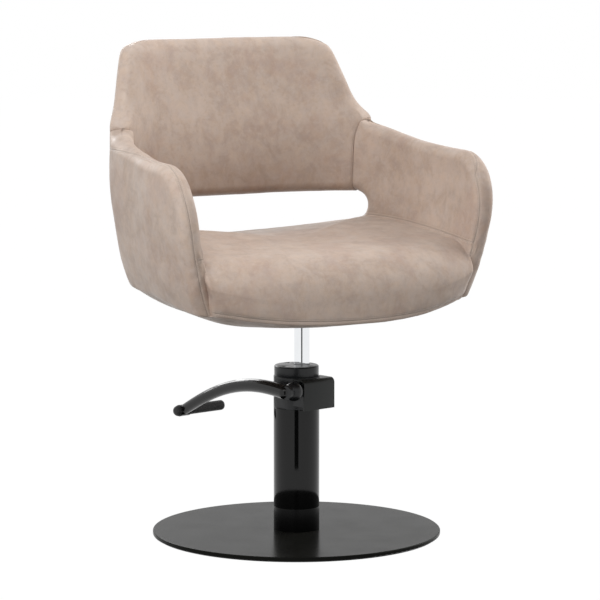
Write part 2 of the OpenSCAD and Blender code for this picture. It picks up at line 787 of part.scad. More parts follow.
module mount_bolts() {
  color("#9fa1a4")
    translate(ram_pos + [0, 0, mount_z])
      bolt_places() {
        translate([0, 0, -5]) cylinder(r = 7.5, h = 5, $fn = 6);
        cylinder(r = bolt_r, h = plate_t + board_t - 2);
      }
}

module tee_nuts() {
  color("#b5b7ba")
    translate(ram_pos + [0, 0, board_z])
      bolt_places()
        difference() {
          union() {
            translate([0, 0, board_t - 2]) cylinder(r = 10, h = 2);
            translate([0, 0, 3]) cylinder(r = 5.5, h = board_t - 3);
          }
          translate([0, 0, -1]) cylinder(r = bolt_r + 0.02, h = board_t - 1);
        }
}

board_in = 85;
board_front = seat_front - 70;

module seat_board() {
  outline = concat(
    [for (k = [-16:16]) let (p = shell_pt(1.9 * k / 16, low_h, board_in)) [p[0], p[1]]],
    [[half_w(low_h) - board_in - 40, -board_front], [-half_w(low_h) + board_in + 40, -board_front]]
  );
  color("#c9a873")
    difference() {
      translate(ram_pos + [0, 0, board_z]) linear_extrude(height = board_t) polygon(outline);
      translate(ram_pos + [0, 0, board_z])
        bolt_places() {
          translate([0, 0, board_t - 2]) cylinder(r = 10.05, h = 4);
          translate([0, 0, -1]) cylinder(r = 5.55, h = board_t + 2);
        }
    }
}

// Steel rod moulded into the arms and the back: two feet on the board, up the arms and round behind the sitter.
frame_in = arm_t / 2;
frame_leg_t = 1.78;
frame_drop = 44;
foot_l = 104;
frame_r = frame_d / 2;

function frame_top(t) = abs(t) > seam_t ? arm_top(shell_pt(t, arm_h, frame_in)[1]) - frame_drop : join_h - frame_drop;
function frame_leg(s, z) = shell_pt(s * frame_leg_t, z, frame_in);

module shell_frame() {
  turn = 26;
  leg_top = frame_top(frame_leg_t) - turn;
  side_t = [for (k = [0:11]) seam_t + (frame_leg_t - 0.1 - seam_t) * k / 11];
  half = concat(
    [for (k = [0:4]) frame_leg(1, frame_r + (leg_top - frame_r) * k / 4)],
    [for (a = [30, 60]) shell_pt(frame_leg_t - 0.1 * (1 - cos(a)), leg_top + turn * sin(a), frame_in)],
    [for (k = [11:-1:0]) shell_pt(side_t[k], frame_top(side_t[k]), frame_in)],
    [for (t = [0.5, 0.35, 0.2]) shell_pt(t, frame_top(t), frame_in)]
  );
  n = len(half);
  path = concat(half, [shell_pt(0, frame_top(0), frame_in)], [for (i = [n - 1:-1:0]) [-half[i][0], half[i][1], half[i][2]]]);
  side = [for (p = path) unit([p[0], p[1] - shoulder_y + 30, 0])];
  color("#55575a")
    at_shell() {
      sweep(path, [for (p = path) frame_r], side, 8);
      for (s = [-1, 1])
        translate([s > 0 ? half[0][0] - foot_l : -half[0][0], half[0][1], frame_r])
          rotate([0, 90, 0]) cylinder(r = frame_r, h = foot_l, $fn = 24);
    }
}

// Underside: a shallow upholstered dish hung from the shell's bottom edge, with a hole for the socket.
cover_in = 6;
dish_hole_r = 46;
dish_t = 4;
dish_gap = 0.5;
dish_steps = [0, 0.12, 0.3, 0.5, 0.7, 0.86, 0.96, 1];
dish_n = 3.2;

function dish_edge(e) = concat(
  [for (t = [-1.85:0.17:-0.9]) shell_pt(t, low_edge(t), e)],
  [for (t = [-0.8:0.1:0.8]) shell_pt(t, low_edge(t), e)],
  [for (t = [0.9:0.17:1.86]) shell_pt(t, low_edge(t), e)],
  [for (k = [0:10]) front_pt(0.98 - 0.196 * k, front_low(0.98 - 0.196 * k), e)]
);

// A point of the seat's front: q runs from -1 to 1 across it.
seat_corner_in = 6;
function seat_corner_y(z) = seat_corner_in - arm_front + lean_at(z);
front_dip = 20;
front_n = 2.2;
function front_w(z) = half_w(z) + splay_at(2, z);
function front_low(q) = low_h - (low_h + front_dip) * (1 - q * q);
function front_pt(q, z, e) =
  [q * (front_w(z) - e), seat_corner_y(z) - (seat_front + seat_corner_y(z)) * (1 - pow(abs(q), front_n)) + e, z];

function dish_ring(f, up) = [for (p = dish_edge(cover_in + (up > 0 ? 2 : 0)))
  let (a = unit([p[0], p[1], 0]) * dish_hole_r, z = -belly + (p[2] + belly) * pow(f, dish_n) - dish_gap + up * (f < 1 ? 1 : 0))
  [a[0] + (p[0] - a[0]) * f, a[1] + (p[1] - a[1]) * f, z]];

module bottom_cover() {
  low = [for (f = dish_steps) dish_ring(f, 0)];
  high = [for (k = [len(dish_steps) - 1:-1:0]) dish_ring(dish_steps[k], dish_t)];
  color("#9c8672") at_shell() ring_band(concat(low, high));
}

// Lower rear panel, under the lip of the seat pad.
module rear_apron() {
  cols = [for (k = [-rear_n:rear_n]) (seam_t - 1.5 * seam_gap_t) * k / rear_n];
  rows = [for (k = [0:4]) k / 4];
  function row_z(t, v) = low_edge(t) + v * (slot_low(t) - lip_h - seat_gap - low_edge(t));
  function grid(e) = [for (t = cols) [for (v = rows) shell_pt(t, row_z(t, v), e + 1.5 * pow(2 * v - 1, 6) * (e > 10 ? -1 : 1))]];
  color("#a8917e") at_shell() sheet(grid(0), grid(apron_t), true);
}

// Seat pad: crowned top, rolled front and rear edges, sides against the arms.
seat_roll_front = 46;
seat_roll_rear = 16;
seat_roll_side = 7;
seat_gap = 1;

module seat_pad() {
  color("#b39c88") at_shell() seat_form();
}

module seat_form() {
  edge_n = 14;
  side_n = len(arm_cols) - 4;
  keys = concat(
    [for (k = [-rear_n:2:rear_n]) [0, (seam_t - seam_gap_t) * k / rear_n]],
    [for (k = [0:side_n]) [1, arm_cols[k]]],
    [for (k = [1:edge_n - 1]) [2, 1 - 2 * k / edge_n]],
    [for (k = [side_n:-1:0]) [1, -arm_cols[k]]]
  );
  function edge(key, z, e) = key[0] == 0 ? shell_pt(key[1], z, e)
    : key[0] == 1 ? shell_pt(key[1], z, e + pad_at(key[1]) + seat_gap)
    : front_pt(key[1] * (front_w(z) - arm_t - seat_gap) / front_w(z), z, e);
  function roll(key) = key[0] == 0 ? seat_roll_rear : key[0] == 1 ? seat_roll_side
    : seat_roll_side + (seat_roll_front - seat_roll_side) * pow(1 - pow(abs(key[1]), 4), 0.7);
  function rim_h(key) = key[0] == 0 ? slot_low(key[1])
    : key[0] == 1 ? seat_side_h + (slot_low(seam_t) - seat_side_h) * (2 - abs(key[1])) / (2 - seam_t)
    : seat_side_h - 4 * (1 - key[1] * key[1]);
  function foot_h(key) = key[0] == 2 ? front_low(key[1]) : low_edge(key[1]);
  function foot_in(key) = key[0] == 0 ? apron_t + seat_gap : 0;
  function top_ring(f) = [for (k = keys)
    let (p = edge(k, rim_h(k), roll(k)), h = rim_h(k) + crown(f, k)) [p[0] * f, p[1] * f, h]];
  function crown(f, k) = 10 * (1 - f * f) * 1.0 + (seat_h - rim_h(k)) * (1 - f) * 0.9;
  function roll_ring(a) = [for (k = keys)
    edge(k, rim_h(k) - roll(k) * (1 - cos(a)), roll(k) * (1 - sin(a)))];
  function step_ring(e) = [for (k = keys)
    let (z = k[0] == 0 ? slot_low(k[1]) - lip_h : (rim_h(k) - roll(k) + foot_h(k)) / 2)
    edge(k, z, k[0] == 0 ? e : k[0] == 2 ? -2 : 0)];
  function low_ring(e, up) = [for (k = keys) edge(k, foot_h(k) + up, foot_in(k) + e)];
  rings = concat([for (f = [0.3, 0.6, 0.85]) top_ring(f)], [for (a = [0:22.5:90]) roll_ring(a)],
    [step_ring(0.6), step_ring(apron_t + seat_gap), low_ring(0, 6), low_ring(4, 0)],
    [[for (k = keys) let (p = edge(k, 0, foot_in(k) + 40)) [p[0], p[1], 0]]]);
  ring_solid(rings, [0, 20, seat_h + 10], [0, 20, 0]);
}

// Arm pad: one closed sheet from the back seam to the arm's rounded front, with the slot's round end bitten out.
module arm_pad() {
  rim_r = back_t * rim_share;
  rim_steps = [rim_r, rim_r * 0.5, rim_r * 0.13, 0];
  cols = arm_cols;
  low = low_edge(seam_t);
  high = join_h - rim_r;
  notch_low = slot_end_h - slot_end_r;
  notch_high = slot_end_h + slot_end_r;
  marks = concat(
    [for (k = [0:3]) low + (notch_low - 3 - low) * k / 3],
    [for (a = [0:30:180]) slot_end_h - slot_end_r * cos(a)],
    [for (k = [0:5]) notch_high + 4 + (high - notch_high - 4) * k / 5]
  );
  shares = [for (z = marks) (z - low) / (high - low)];
  function notch(z) = let (q = (z - slot_end_h) / slot_end_r)
    abs(q) >= 1 ? 0 : (slot_end_t - seam_t) * sqrt(1 - q * q);
  function col_y(t) = shell_pt(t, arm_h, pad_at(t) / 2)[1];
  function top_at(t) = t <= seam_t + seam_gap_t ? join_h : arm_top(col_y(t));
  function z_at(i, j) = let (low_z = low_edge(cols[i]), top_z = top_at(cols[i]))
    j < len(marks) ? low_z + shares[j] * (top_z - rim_r - low_z) : top_z - rim_steps[j - len(marks) + 1];
  function t_at(i, j) = cols[i] + flare(z_at(i, j)) * max(0, 1 - i / 2)
    + (j < len(marks) ? notch(marks[j]) * max(0, 1 - i / 4) : 0);
  // the distance to the round corner is taken along the radius of its ellipse
  function front_gap(t, z) = let (y = side_y(t), c = arm_h - arm_corner_h,
      q = norm([(arm_turn_y - y) / arm_corner, (z - c) / arm_corner_h]))
    t < 1 ? back_t : (y < arm_turn_y && z > c) ? (1 - q) * norm([arm_turn_y - y, z - c]) / max(q, 0.01) : y + arm_front;
  function slot_gap(i, j) = j < len(marks) && notch(marks[j]) > 0.004 ? (t_at(i, j) - t_at(0, j)) * quarter_mm : back_t;
  function half_at(i, j) = let (z = z_at(i, j))
    pad_half(min(top_at(cols[i]) - z, front_gap(cols[i], z), slot_gap(i, j)), pad_at(cols[i]));
  function grid(s) = [for (i = [0:len(cols) - 1]) [for (j = [0:len(marks) + 2])
    shell_pt(t_at(i, j), z_at(i, j), pad_at(cols[i]) / 2 + s * half_at(i, j))]];
  sheet(grid(-1), grid(1), true);
}

module arm_pad_left() {
  color("#b39c88") at_shell() arm_pad();
}

module arm_pad_right() {
  color("#b39c88") at_shell() mirror([1, 0, 0]) arm_pad();
}

// Back pad: one closed sheet between the arm seams, free at its top, its sides and the slot.
module back_pad() {
  cols = [for (a = [-90:7.5:90]) sin(a) * (0.5 + 0.5 * abs(sin(a)))];
  rim_r = back_t * rim_share;
  rim_steps = [0, 0.13, 0.5, 1];
  function low_z(u) = slot_top(u * seam_t);
  function row_z(u, j) = let (a = low_z(u) + rim_r, b = back_h - top_corner_h)
    j < 3 ? low_z(u) + rim_steps[j] * rim_r
    : j < 13 ? a + (b - a) * (j - 3) / 10
    : back_h - top_corner_h * (1 - sin((j - 12) * 18));
  function half_at(u, z) = let (edge = back_edge(z))
    pad_half(min(z - low_z(u), back_h - z, edge * (1 - abs(u)) * quarter_mm + max(0, join_h - z)), back_t);
  function grid(s) = [for (u = cols) [for (j = [0:17])
    let (z = row_z(u, j)) shell_pt(u * back_edge(z), z, back_t / 2 + s * half_at(u, z))]];
  color("#b39c88") at_shell() sheet(grid(-1), grid(1), true);
}

floor_mat();
base_plate();
foot_screws();
foot_collar();
column_tube();
pressure_cylinder();
cylinder_plug();
pump_head();
rod_bush();
head_cap();
rod_wiper();
cap_screws();
side_cover();
cover_screws();
plunger_sleeve();
return_spring();
pump_plunger();
rocker_shaft();
rocker_arm();
lever_hub();
hub_screw();
lever_arm();
pedal_bar();
pedal_sleeve();
pedal_knob();
piston_head();
piston_seals();
thrust_washer();
ram_rod();
ram_socket();
mount_plate();
mount_bolts();
tee_nuts();
seat_board();
shell_frame();
bottom_cover();
rear_apron();
seat_pad();
arm_pad_left();
arm_pad_right();
back_pad();
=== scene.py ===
import json
from math import acos, asin, atan, atan2, cos, exp, hypot, pi, radians, sin, sqrt, tan

import bmesh
import bpy
from mathutils import Matrix, Vector, noise
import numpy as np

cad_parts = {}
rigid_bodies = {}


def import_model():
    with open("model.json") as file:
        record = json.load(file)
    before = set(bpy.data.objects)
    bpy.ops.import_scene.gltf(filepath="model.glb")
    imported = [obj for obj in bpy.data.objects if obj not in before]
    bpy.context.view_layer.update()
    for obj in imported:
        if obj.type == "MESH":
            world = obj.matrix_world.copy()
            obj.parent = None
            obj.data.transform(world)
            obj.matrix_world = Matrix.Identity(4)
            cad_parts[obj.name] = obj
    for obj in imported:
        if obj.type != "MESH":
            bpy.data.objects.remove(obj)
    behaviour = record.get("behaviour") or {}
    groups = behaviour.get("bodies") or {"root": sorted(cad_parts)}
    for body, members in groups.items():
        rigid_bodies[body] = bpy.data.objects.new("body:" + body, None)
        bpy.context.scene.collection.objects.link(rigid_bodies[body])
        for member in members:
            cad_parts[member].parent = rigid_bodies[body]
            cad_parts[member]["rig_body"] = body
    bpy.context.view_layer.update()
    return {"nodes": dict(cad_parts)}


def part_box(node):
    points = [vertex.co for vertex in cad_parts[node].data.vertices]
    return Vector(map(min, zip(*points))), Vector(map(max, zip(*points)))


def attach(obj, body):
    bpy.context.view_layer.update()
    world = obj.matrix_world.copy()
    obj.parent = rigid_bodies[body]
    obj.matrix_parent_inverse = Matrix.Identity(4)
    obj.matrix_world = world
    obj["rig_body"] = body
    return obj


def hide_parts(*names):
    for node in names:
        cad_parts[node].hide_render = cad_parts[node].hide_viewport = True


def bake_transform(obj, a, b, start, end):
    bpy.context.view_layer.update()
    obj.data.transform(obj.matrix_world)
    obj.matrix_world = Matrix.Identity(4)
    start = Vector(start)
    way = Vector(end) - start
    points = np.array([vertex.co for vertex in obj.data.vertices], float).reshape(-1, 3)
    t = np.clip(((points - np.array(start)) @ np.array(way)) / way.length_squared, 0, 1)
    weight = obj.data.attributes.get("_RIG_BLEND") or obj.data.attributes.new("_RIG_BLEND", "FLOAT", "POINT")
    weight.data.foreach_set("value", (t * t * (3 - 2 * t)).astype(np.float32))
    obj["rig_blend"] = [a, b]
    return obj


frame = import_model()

scene = bpy.context.scene
scene.view_settings.view_transform = "Standard"
print("frame loaded")

# camera
cameraSetup = {
    "turn": 31.0,  # degrees to the sitter's right
    "distance": 6.0,
    "height": 1.21,
    "lookHeight": 0.46,
    "pixelsPerMetre": 512.5,  # on the floor plate, under the column
    "plateCentre": (296.5, 528.0),  # pixels
    "plateTop": 0.010,
    "picture": 600,  # pixels
    "sensor": 36,
}


def makeCamera(setup):
    turn, distance = radians(setup["turn"]), setup["distance"]
    pitch = atan2(setup["height"] - setup["lookHeight"], distance)
    place = Vector((-distance * sin(turn), -distance * cos(turn), setup["height"]))
    ahead = cos(pitch)
    forward = Vector((sin(turn) * ahead, cos(turn) * ahead, -sin(pitch)))
    right = Vector((cos(turn), -sin(turn), 0))
    toPlate = Vector((0, 0, setup["plateTop"])) - place
    depth = toPlate.dot(forward)
    focal = setup["pixelsPerMetre"] * depth
    middle = setup["picture"] / 2
    rowOfAxis = setup["plateCentre"][1] + focal * toPlate.dot(right.cross(forward)) / depth
    data = bpy.data.cameras.new("camera")
    data.sensor_width = setup["sensor"]
    data.lens = focal / setup["picture"] * setup["sensor"]
    data.shift_x = (middle - setup["plateCentre"][0]) / setup["picture"]
    data.shift_y = (rowOfAxis - middle) / setup["picture"]
    data.clip_end = 60
    camera = bpy.data.objects.new("camera", data)
    camera.location = place
    camera.rotation_euler = (pi / 2 - pitch, 0, -turn)
    scene.collection.objects.link(camera)
    scene.camera = camera
    return place, forward


cameraPlace, cameraForward = makeCamera(cameraSetup)

# floor, world and lamps
white = (1, 1, 1, 1)
studio = {
    "worldStrength": 0.43,
    "worldSeen": 1.0,  # what the camera and the metal see of it
    "floorRadius": 14,
    "floorGrey": 0.3,
    "floorGlow": 1.03,  # what the camera and the metal see of the floor
    "floorGlowShare": 0.97,  # the rest keeps the shadow
}
# the narrow black flag that draws the dark line down the metal
flag = {"width": 0.15, "height": 0.4, "ahead": 0.45, "middle": 0.24, "grey": 0.01, "rough": 0.9}
# place, target, size, power, and what it gives: light to the colours, shine to the reflections, or both
lamps = {
    "nearLeft": ((-1.0, -1.0, 2.0), (-0.2, 0.2, 0.85), (0.9, 0.9), 12.4, "light and shine"),
    "farLeft": ((-2.5, -2.2, 3.3), (0, 0, 0.7), (2.0, 2.0), 6.6, "light"),
    "above": ((-0.4, 0.3, 3.2), (0, 0, 0.5), (0.9, 0.9), 8.6, "light and shine"),
    "leftSide": ((-2.6, -0.7, 1.3), (0, 0, 0.6), (1.4, 1.8), 31.6, "light"),
    "rightSide": ((2.3, 0.0, 1.9), (0, 0, 0.8), (1.4, 1.4), 63.8, "light"),
    "sparkle": ((0.2, 2.8, 1.6), (-0.1, 0.1, 0.28), (2.0, 0.9), 26.0, "shine"),
}


def addNode(tree, kind, inputs=(), **settings):
    # a shader node with its settings; each input is a value or another node's output
    made = tree.nodes.new("ShaderNode" + kind)
    for key, value in settings.items():
        setattr(made, key, value)
    for socket, value in dict(inputs).items():
        if isinstance(value, bpy.types.NodeSocket):
            tree.links.new(value, made.inputs[socket])
        else:
            made.inputs[socket].default_value = value
    return made


def seenBy(tree, *rays):
    # 1 for these kinds of ray, 0 for the others
    path = addNode(tree, "LightPath")
    share = path.outputs[rays[0]]
    for ray in rays[1:]:
        either = addNode(tree, "Math", {0: share, 1: path.outputs[ray]}, operation="MAXIMUM")
        share = either.outputs[0]
    return share


def makeWorld(setup):
    world = bpy.data.worlds.new("studio")
    scene.world = world
    world.use_nodes = True
    tree = world.node_tree
    tree.nodes.clear()
    plain = addNode(tree, "Background", {"Color": white, "Strength": setup["worldStrength"]})
    seen = addNode(tree, "Background", {"Color": white, "Strength": setup["worldSeen"]})
    rays = seenBy(tree, "Is Camera Ray", "Is Glossy Ray", "Is Transmission Ray")
    mix = addNode(tree, "MixShader", {0: rays, 1: plain.outputs[0], 2: seen.outputs[0]})
    addNode(tree, "OutputWorld", {0: mix.outputs[0]})


def makeLamp(name, place, target, size, power, gives):
    data = bpy.data.lights.new(name, "AREA")
    data.shape = "RECTANGLE"
    data.size, data.size_y = size
    data.energy = power
    made = bpy.data.objects.new(name, data)
    made.location = place
    made.rotation_euler = (Vector(target) - Vector(place)).to_track_quat("-Z", "Y").to_euler()
    made.visible_camera = False
    made.visible_glossy = "shine" in gives
    made.visible_diffuse = "light" in gives
    scene.collection.objects.link(made)


def addMesh(name, bm):
    # an object at the origin from a finished bmesh
    mesh = bpy.data.meshes.new(name)
    bm.to_mesh(mesh)
    bm.free()
    made = bpy.data.objects.new(name, mesh)
    scene.collection.objects.link(made)
    return made


def makeFloor(setup):
    bm = bmesh.new()
    bmesh.ops.create_circle(bm, cap_ends=True, segments=96, radius=setup["floorRadius"])
    floor = addMesh("floor", bm)
    material = bpy.data.materials.new("floorPaper")
    material.use_nodes = True
    tree = material.node_tree
    tree.nodes.clear()
    paper = addNode(tree, "BsdfDiffuse", {"Color": (setup["floorGrey"],) * 3 + (1,)})
    glow = addNode(tree, "Emission", {"Color": white, "Strength": setup["floorGlow"]})
    rays = seenBy(tree, "Is Camera Ray", "Is Glossy Ray")
    share = addNode(tree, "Math", {0: rays, 1: setup["floorGlowShare"]}, operation="MULTIPLY")
    mix = addNode(tree, "MixShader", {0: share.outputs[0], 1: paper.outputs[0], 2: glow.outputs[0]})
    addNode(tree, "OutputMaterial", {0: mix.outputs[0]})
    floor.data.materials.append(material)


def makeFlag(look):
    # it stands before the column, where only the reflected rays meet it
    up = Vector((0, 0, 1))
    side = cameraForward.cross(up).normalized()
    middle = Vector((cameraPlace.x, cameraPlace.y, 0)).normalized() * look["ahead"] + up * look["middle"]
    bm = bmesh.new()
    bmesh.ops.create_grid(bm, x_segments=1, y_segments=1, size=0.5)
    for v in bm.verts:
        v.co = middle + side * v.co.x * look["width"] + up * v.co.y * look["height"]
    card = addMesh("flag", bm)
    material = bpy.data.materials.new("flagBlack")
    material.use_nodes = True
    shader = material.node_tree.nodes["Principled BSDF"]
    shader.inputs["Base Color"].default_value = (look["grey"],) * 3 + (1,)
    shader.inputs["Roughness"].default_value = look["rough"]
    card.data.materials.append(material)
    card.visible_diffuse = card.visible_shadow = card.visible_camera = False


makeWorld(studio)
makeFloor(studio)
makeFlag(flag)
for name, lamp in lamps.items():
    makeLamp(name, *lamp)
print("studio made")


# material helpers
def linear(colour):
    # a colour written as 0 to 255 screen values
    parts = [c / 255 for c in colour]
    return tuple(c / 12.92 if c <= 0.04045 else ((c + 0.055) / 1.055) ** 2.4 for c in parts) + (1,)


def toned(colour, share):
    # a linear colour made darker or lighter
    return tuple(min(1, c * share) for c in colour[:3]) + (1,)


class Finish:
    # a procedural material in the making, on the piece's Object coordinates
    def __init__(self, name):
        self.material = bpy.data.materials.new(name)
        self.material.use_nodes = True
        self.tree = self.material.node_tree
        self.shader = self.tree.nodes["Principled BSDF"]
        self.coords = self.node("TexCoord").outputs["Object"]

    def node(self, kind, inputs=(), **settings):
        return addNode(self.tree, kind, inputs, **settings)

    def put(self, **values):
        for key, value in values.items():
            self.shader.inputs[key.replace("_", " ")].default_value = value

    def noise(self, scale, detail=3.0, rough=0.5, stretch=(1, 1, 1), shift=(0, 0, 0), distortion=0.0):
        place = self.node("Mapping", {"Vector": self.coords, "Scale": stretch, "Location": shift})
        inputs = {"Vector": place.outputs[0], "Scale": scale, "Detail": detail, "Roughness": rough}
        return self.node("TexNoise", {**inputs, "Distortion": distortion}).outputs[0]

    def cells(self, scale):
        return self.node("TexVoronoi", {"Vector": self.coords, "Scale": scale}).outputs["Distance"]

    def ramp(self, source, *stops):
        made = self.node("ValToRGB", {0: source})
        steps = made.color_ramp.elements
        while len(steps) < len(stops):
            steps.new(0.5)
        for step, (at, colour) in zip(steps, stops):
            step.position = at
            step.color = colour
        return made.outputs[0]

    def math(self, kind, *values):
        return self.node("Math", enumerate(values), operation=kind).outputs[0]

    def mix(self, share, a, b, kind="MIX"):
        inputs = {0: share, 6: a, 7: b}  # the factor and the two colours
        return self.node("Mix", inputs, data_type="RGBA", blend_type=kind).outputs[2]

    def spread(self, source, low, high, toLow, toHigh):
        inputs = {"Value": source, "From Min": low, "From Max": high, "To Min": toLow, "To Max": toHigh}
        return self.node("MapRange", inputs, clamp=True).outputs["Result"]

    def attribute(self, name):
        return self.node("Attribute", attribute_name=name).outputs["Fac"]

    def bump(self, height, distance, strength=1.0, **under):
        inputs = {"Height": height, "Distance": distance, "Strength": strength, **under}
        return self.node("Bump", inputs).outputs["Normal"]

    def finish(self, colour, roughness, normal):
        for socket, source in (("Base Color", colour), ("Roughness", roughness), ("Normal", normal)):
            self.tree.links.new(source, self.shader.inputs[socket])
        return self.material


# upholstery
hide = {
    "light": (196, 179, 166),
    "middle": (178, 160, 147),
    "deep": (156, 137, 124),
    "warm": (166, 141, 127),
    # the painted shade in the seams' creases
    "seamCreaseShade": (92, 76, 66),
    "cooler": (0.985, 1.0, 1.03, 1),
    "warmer": (1.024, 0.992, 0.958, 1),
    "grain": 0.00022,
    "matt": (0.56, 0.42),  # roughness of the dark and of the light blotches
}
patterns = {
    "clouds": {"scale": 4.2, "detail": 2.5, "distortion": 0.4},
    "blotches": {"scale": 30, "detail": 6, "rough": 0.64, "stretch": (1, 1, 0.85), "shift": (3.1, 1.7, 0.4),
                 "distortion": 0.5},
    "flecks": {"scale": 115, "detail": 4, "rough": 0.7, "shift": (0.3, 9.1, 2.2)},
    "rubbed": {"scale": 13, "detail": 6, "rough": 0.62, "stretch": (1, 1, 0.6), "shift": (7.7, 2.1, 5.5),
               "distortion": 1.1},
    "glows": {"scale": 9, "detail": 4, "rough": 0.55, "shift": (1.9, 6.2, 8.8)},
    "tints": {"scale": 52, "detail": 5, "rough": 0.65, "shift": (5.2, 0.8, 3.3)},
}
# each pattern lays a tone on between two of its values, with a strength at either
washes = [
    ("blotches", "light", 0.46, 0.66, 0.0, 0.4),
    ("blotches", "deep", 0.34, 0.5, 0.36, 0.0),
    ("glows", "warm", 0.5, 0.64, 0.0, 0.42),
    ("rubbed", "light", 0.54, 0.68, 0.0, 0.24),
    ("flecks", "light", 0.52, 0.7, 0.0, 0.3),
    ("flecks", "deep", 0.3, 0.46, 0.28, 0.0),
]
# painted shade low on the back, between the arms and over the seat: a darker, warmer oval with a ragged edge
lowBackShade = {
    "shift": (0.02, -0.24, -0.655), "stretch": (2.6, 7.0, 7.4), "ragged": 0.25, "fade": (0.25, 1.25),
    "strength": 0.85, "tone": (0.72, 0.66, 0.62, 1),
}
# metres from the seam's middle between which each trace of it fades out
stitching = {
    # the crease and the stitch rows' dips get painted shade, the lips a painted highlight
    "crease": (0.0003, 0.0019), "creaseShadeShare": 0.42,
    "dip": (0.0003, 0.0016), "dipShadeShare": 0.2,
    "lip": (0.0015, 0.0052), "lipShare": 0.42,
    "thread": (0.0002, 0.0006), "threadShare": 0.8, "threadLight": 1.12,
    "aside": 0.0034, "pitch": 0.0042, "stitch": (0.3, 0.4),  # half a stitch's length, as a share of the pitch
    "threadHeight": 0.55, "dipHeight": 0.35, "depth": 0.0009,
}


def seamFinish(f, letter, base, tones):
    # a crease darkened with painted shade between two lips paled with a painted highlight, each with a row of
    # pale stitches in a dip darkened with painted shade, from the distances kept on the mesh
    away = f.math("ABSOLUTE", f.attribute("seam" + letter))
    crease = f.spread(away, *stitching["crease"], 1.0, 0.0)
    # painted shade in the seam's crease
    base = f.mix(f.math("MULTIPLY", crease, stitching["creaseShadeShare"]), base, linear(hide["seamCreaseShade"]))
    row = f.math("ABSOLUTE", f.math("SUBTRACT", away, stitching["aside"]))
    part = f.math("FRACT", f.math("DIVIDE", f.attribute("run" + letter), stitching["pitch"]))
    length = f.spread(f.math("ABSOLUTE", f.math("SUBTRACT", part, 0.5)), *stitching["stitch"], 1.0, 0.0)
    thread = f.math("MULTIPLY", f.spread(row, *stitching["thread"], 1.0, 0.0), length)
    dip = f.spread(row, *stitching["dip"], 1.0, 0.0)
    # painted shade in the dips along the stitch rows
    base = f.mix(f.math("MULTIPLY", dip, stitching["dipShadeShare"]), base, tones["deep"])
    # painted highlight on the lips either side of the seam
    base = f.mix(f.spread(away, *stitching["lip"], stitching["lipShare"], 0.0), base, tones["light"])
    pale = toned(tones["light"], stitching["threadLight"])
    base = f.mix(f.math("MULTIPLY", thread, stitching["threadShare"]), base, pale)
    sunk = f.math("ADD", crease, f.math("MULTIPLY", dip, stitching["dipHeight"]))
    return base, f.math("SUBTRACT", f.math("MULTIPLY", thread, stitching["threadHeight"]), sunk)


def upholsteryFinish(name, shade=1.0):
    f = Finish(name)
    made = {key: f.noise(**pattern) for key, pattern in patterns.items()}
    # shade scales every tone: below 1 it makes a copy darkened as painted shade
    tones = {key: toned(linear(hide[key]), shade) for key in ("light", "middle", "deep", "warm")}
    base = f.ramp(made["clouds"], (0.3, tones["deep"]), (0.46, tones["middle"]), (0.74, tones["light"]))
    base = f.mix(0.5, base, tones["middle"])
    for pattern, tone, *span in washes:
        base = f.mix(f.spread(made[pattern], *span), base, tones[tone])
    cooler, warmer = (f.mix(1.0, base, hide[key], "MULTIPLY") for key in ("cooler", "warmer"))
    base = f.mix(f.spread(made["tints"], 0.36, 0.64, 0.0, 1.0), cooler, warmer)
    # painted shade low on the back: the oval darkens and warms the colour
    place = f.node("Mapping", {"Vector": f.coords, "Location": lowBackShade["shift"]}).outputs[0]
    oval = f.node("VectorMath", {0: place, 1: lowBackShade["stretch"]}, operation="MULTIPLY").outputs[0]
    reach = f.node("VectorMath", {0: oval}, operation="LENGTH").outputs["Value"]
    reach = f.math("ADD", reach, f.math("MULTIPLY", made["blotches"], lowBackShade["ragged"]))
    base = f.mix(f.spread(reach, *lowBackShade["fade"], lowBackShade["strength"], 0.0), base, lowBackShade["tone"], "MULTIPLY")
    base, heightA = seamFinish(f, "A", base, tones)
    base, heightB = seamFinish(f, "B", base, tones)
    normal = f.bump(f.noise(34, shift=(2, 2, 2)), 0.0012, 0.35)
    normal = f.bump(f.noise(260, detail=4, rough=0.6), hide["grain"], 0.6, Normal=normal)
    normal = f.bump(f.cells(620), hide["grain"], 0.5, Normal=normal)
    normal = f.bump(f.math("ADD", heightA, heightB), stitching["depth"], 0.9, Normal=normal)
    f.put(IOR=1.45, Sheen_Weight=0.12, Sheen_Roughness=0.45, Sheen_Tint=(1, 0.96, 0.92, 1))
    return f.finish(base, f.spread(made["blotches"], 0.35, 0.65, *hide["matt"]), normal)


upholstery = upholsteryFinish("upholstery")
# the underside's copy is painted 7% darker, as painted shade under the seat
upholsteryShadedUnder = upholsteryFinish("upholsteryShadedUnderside", 0.93)
print("upholstery finish made")

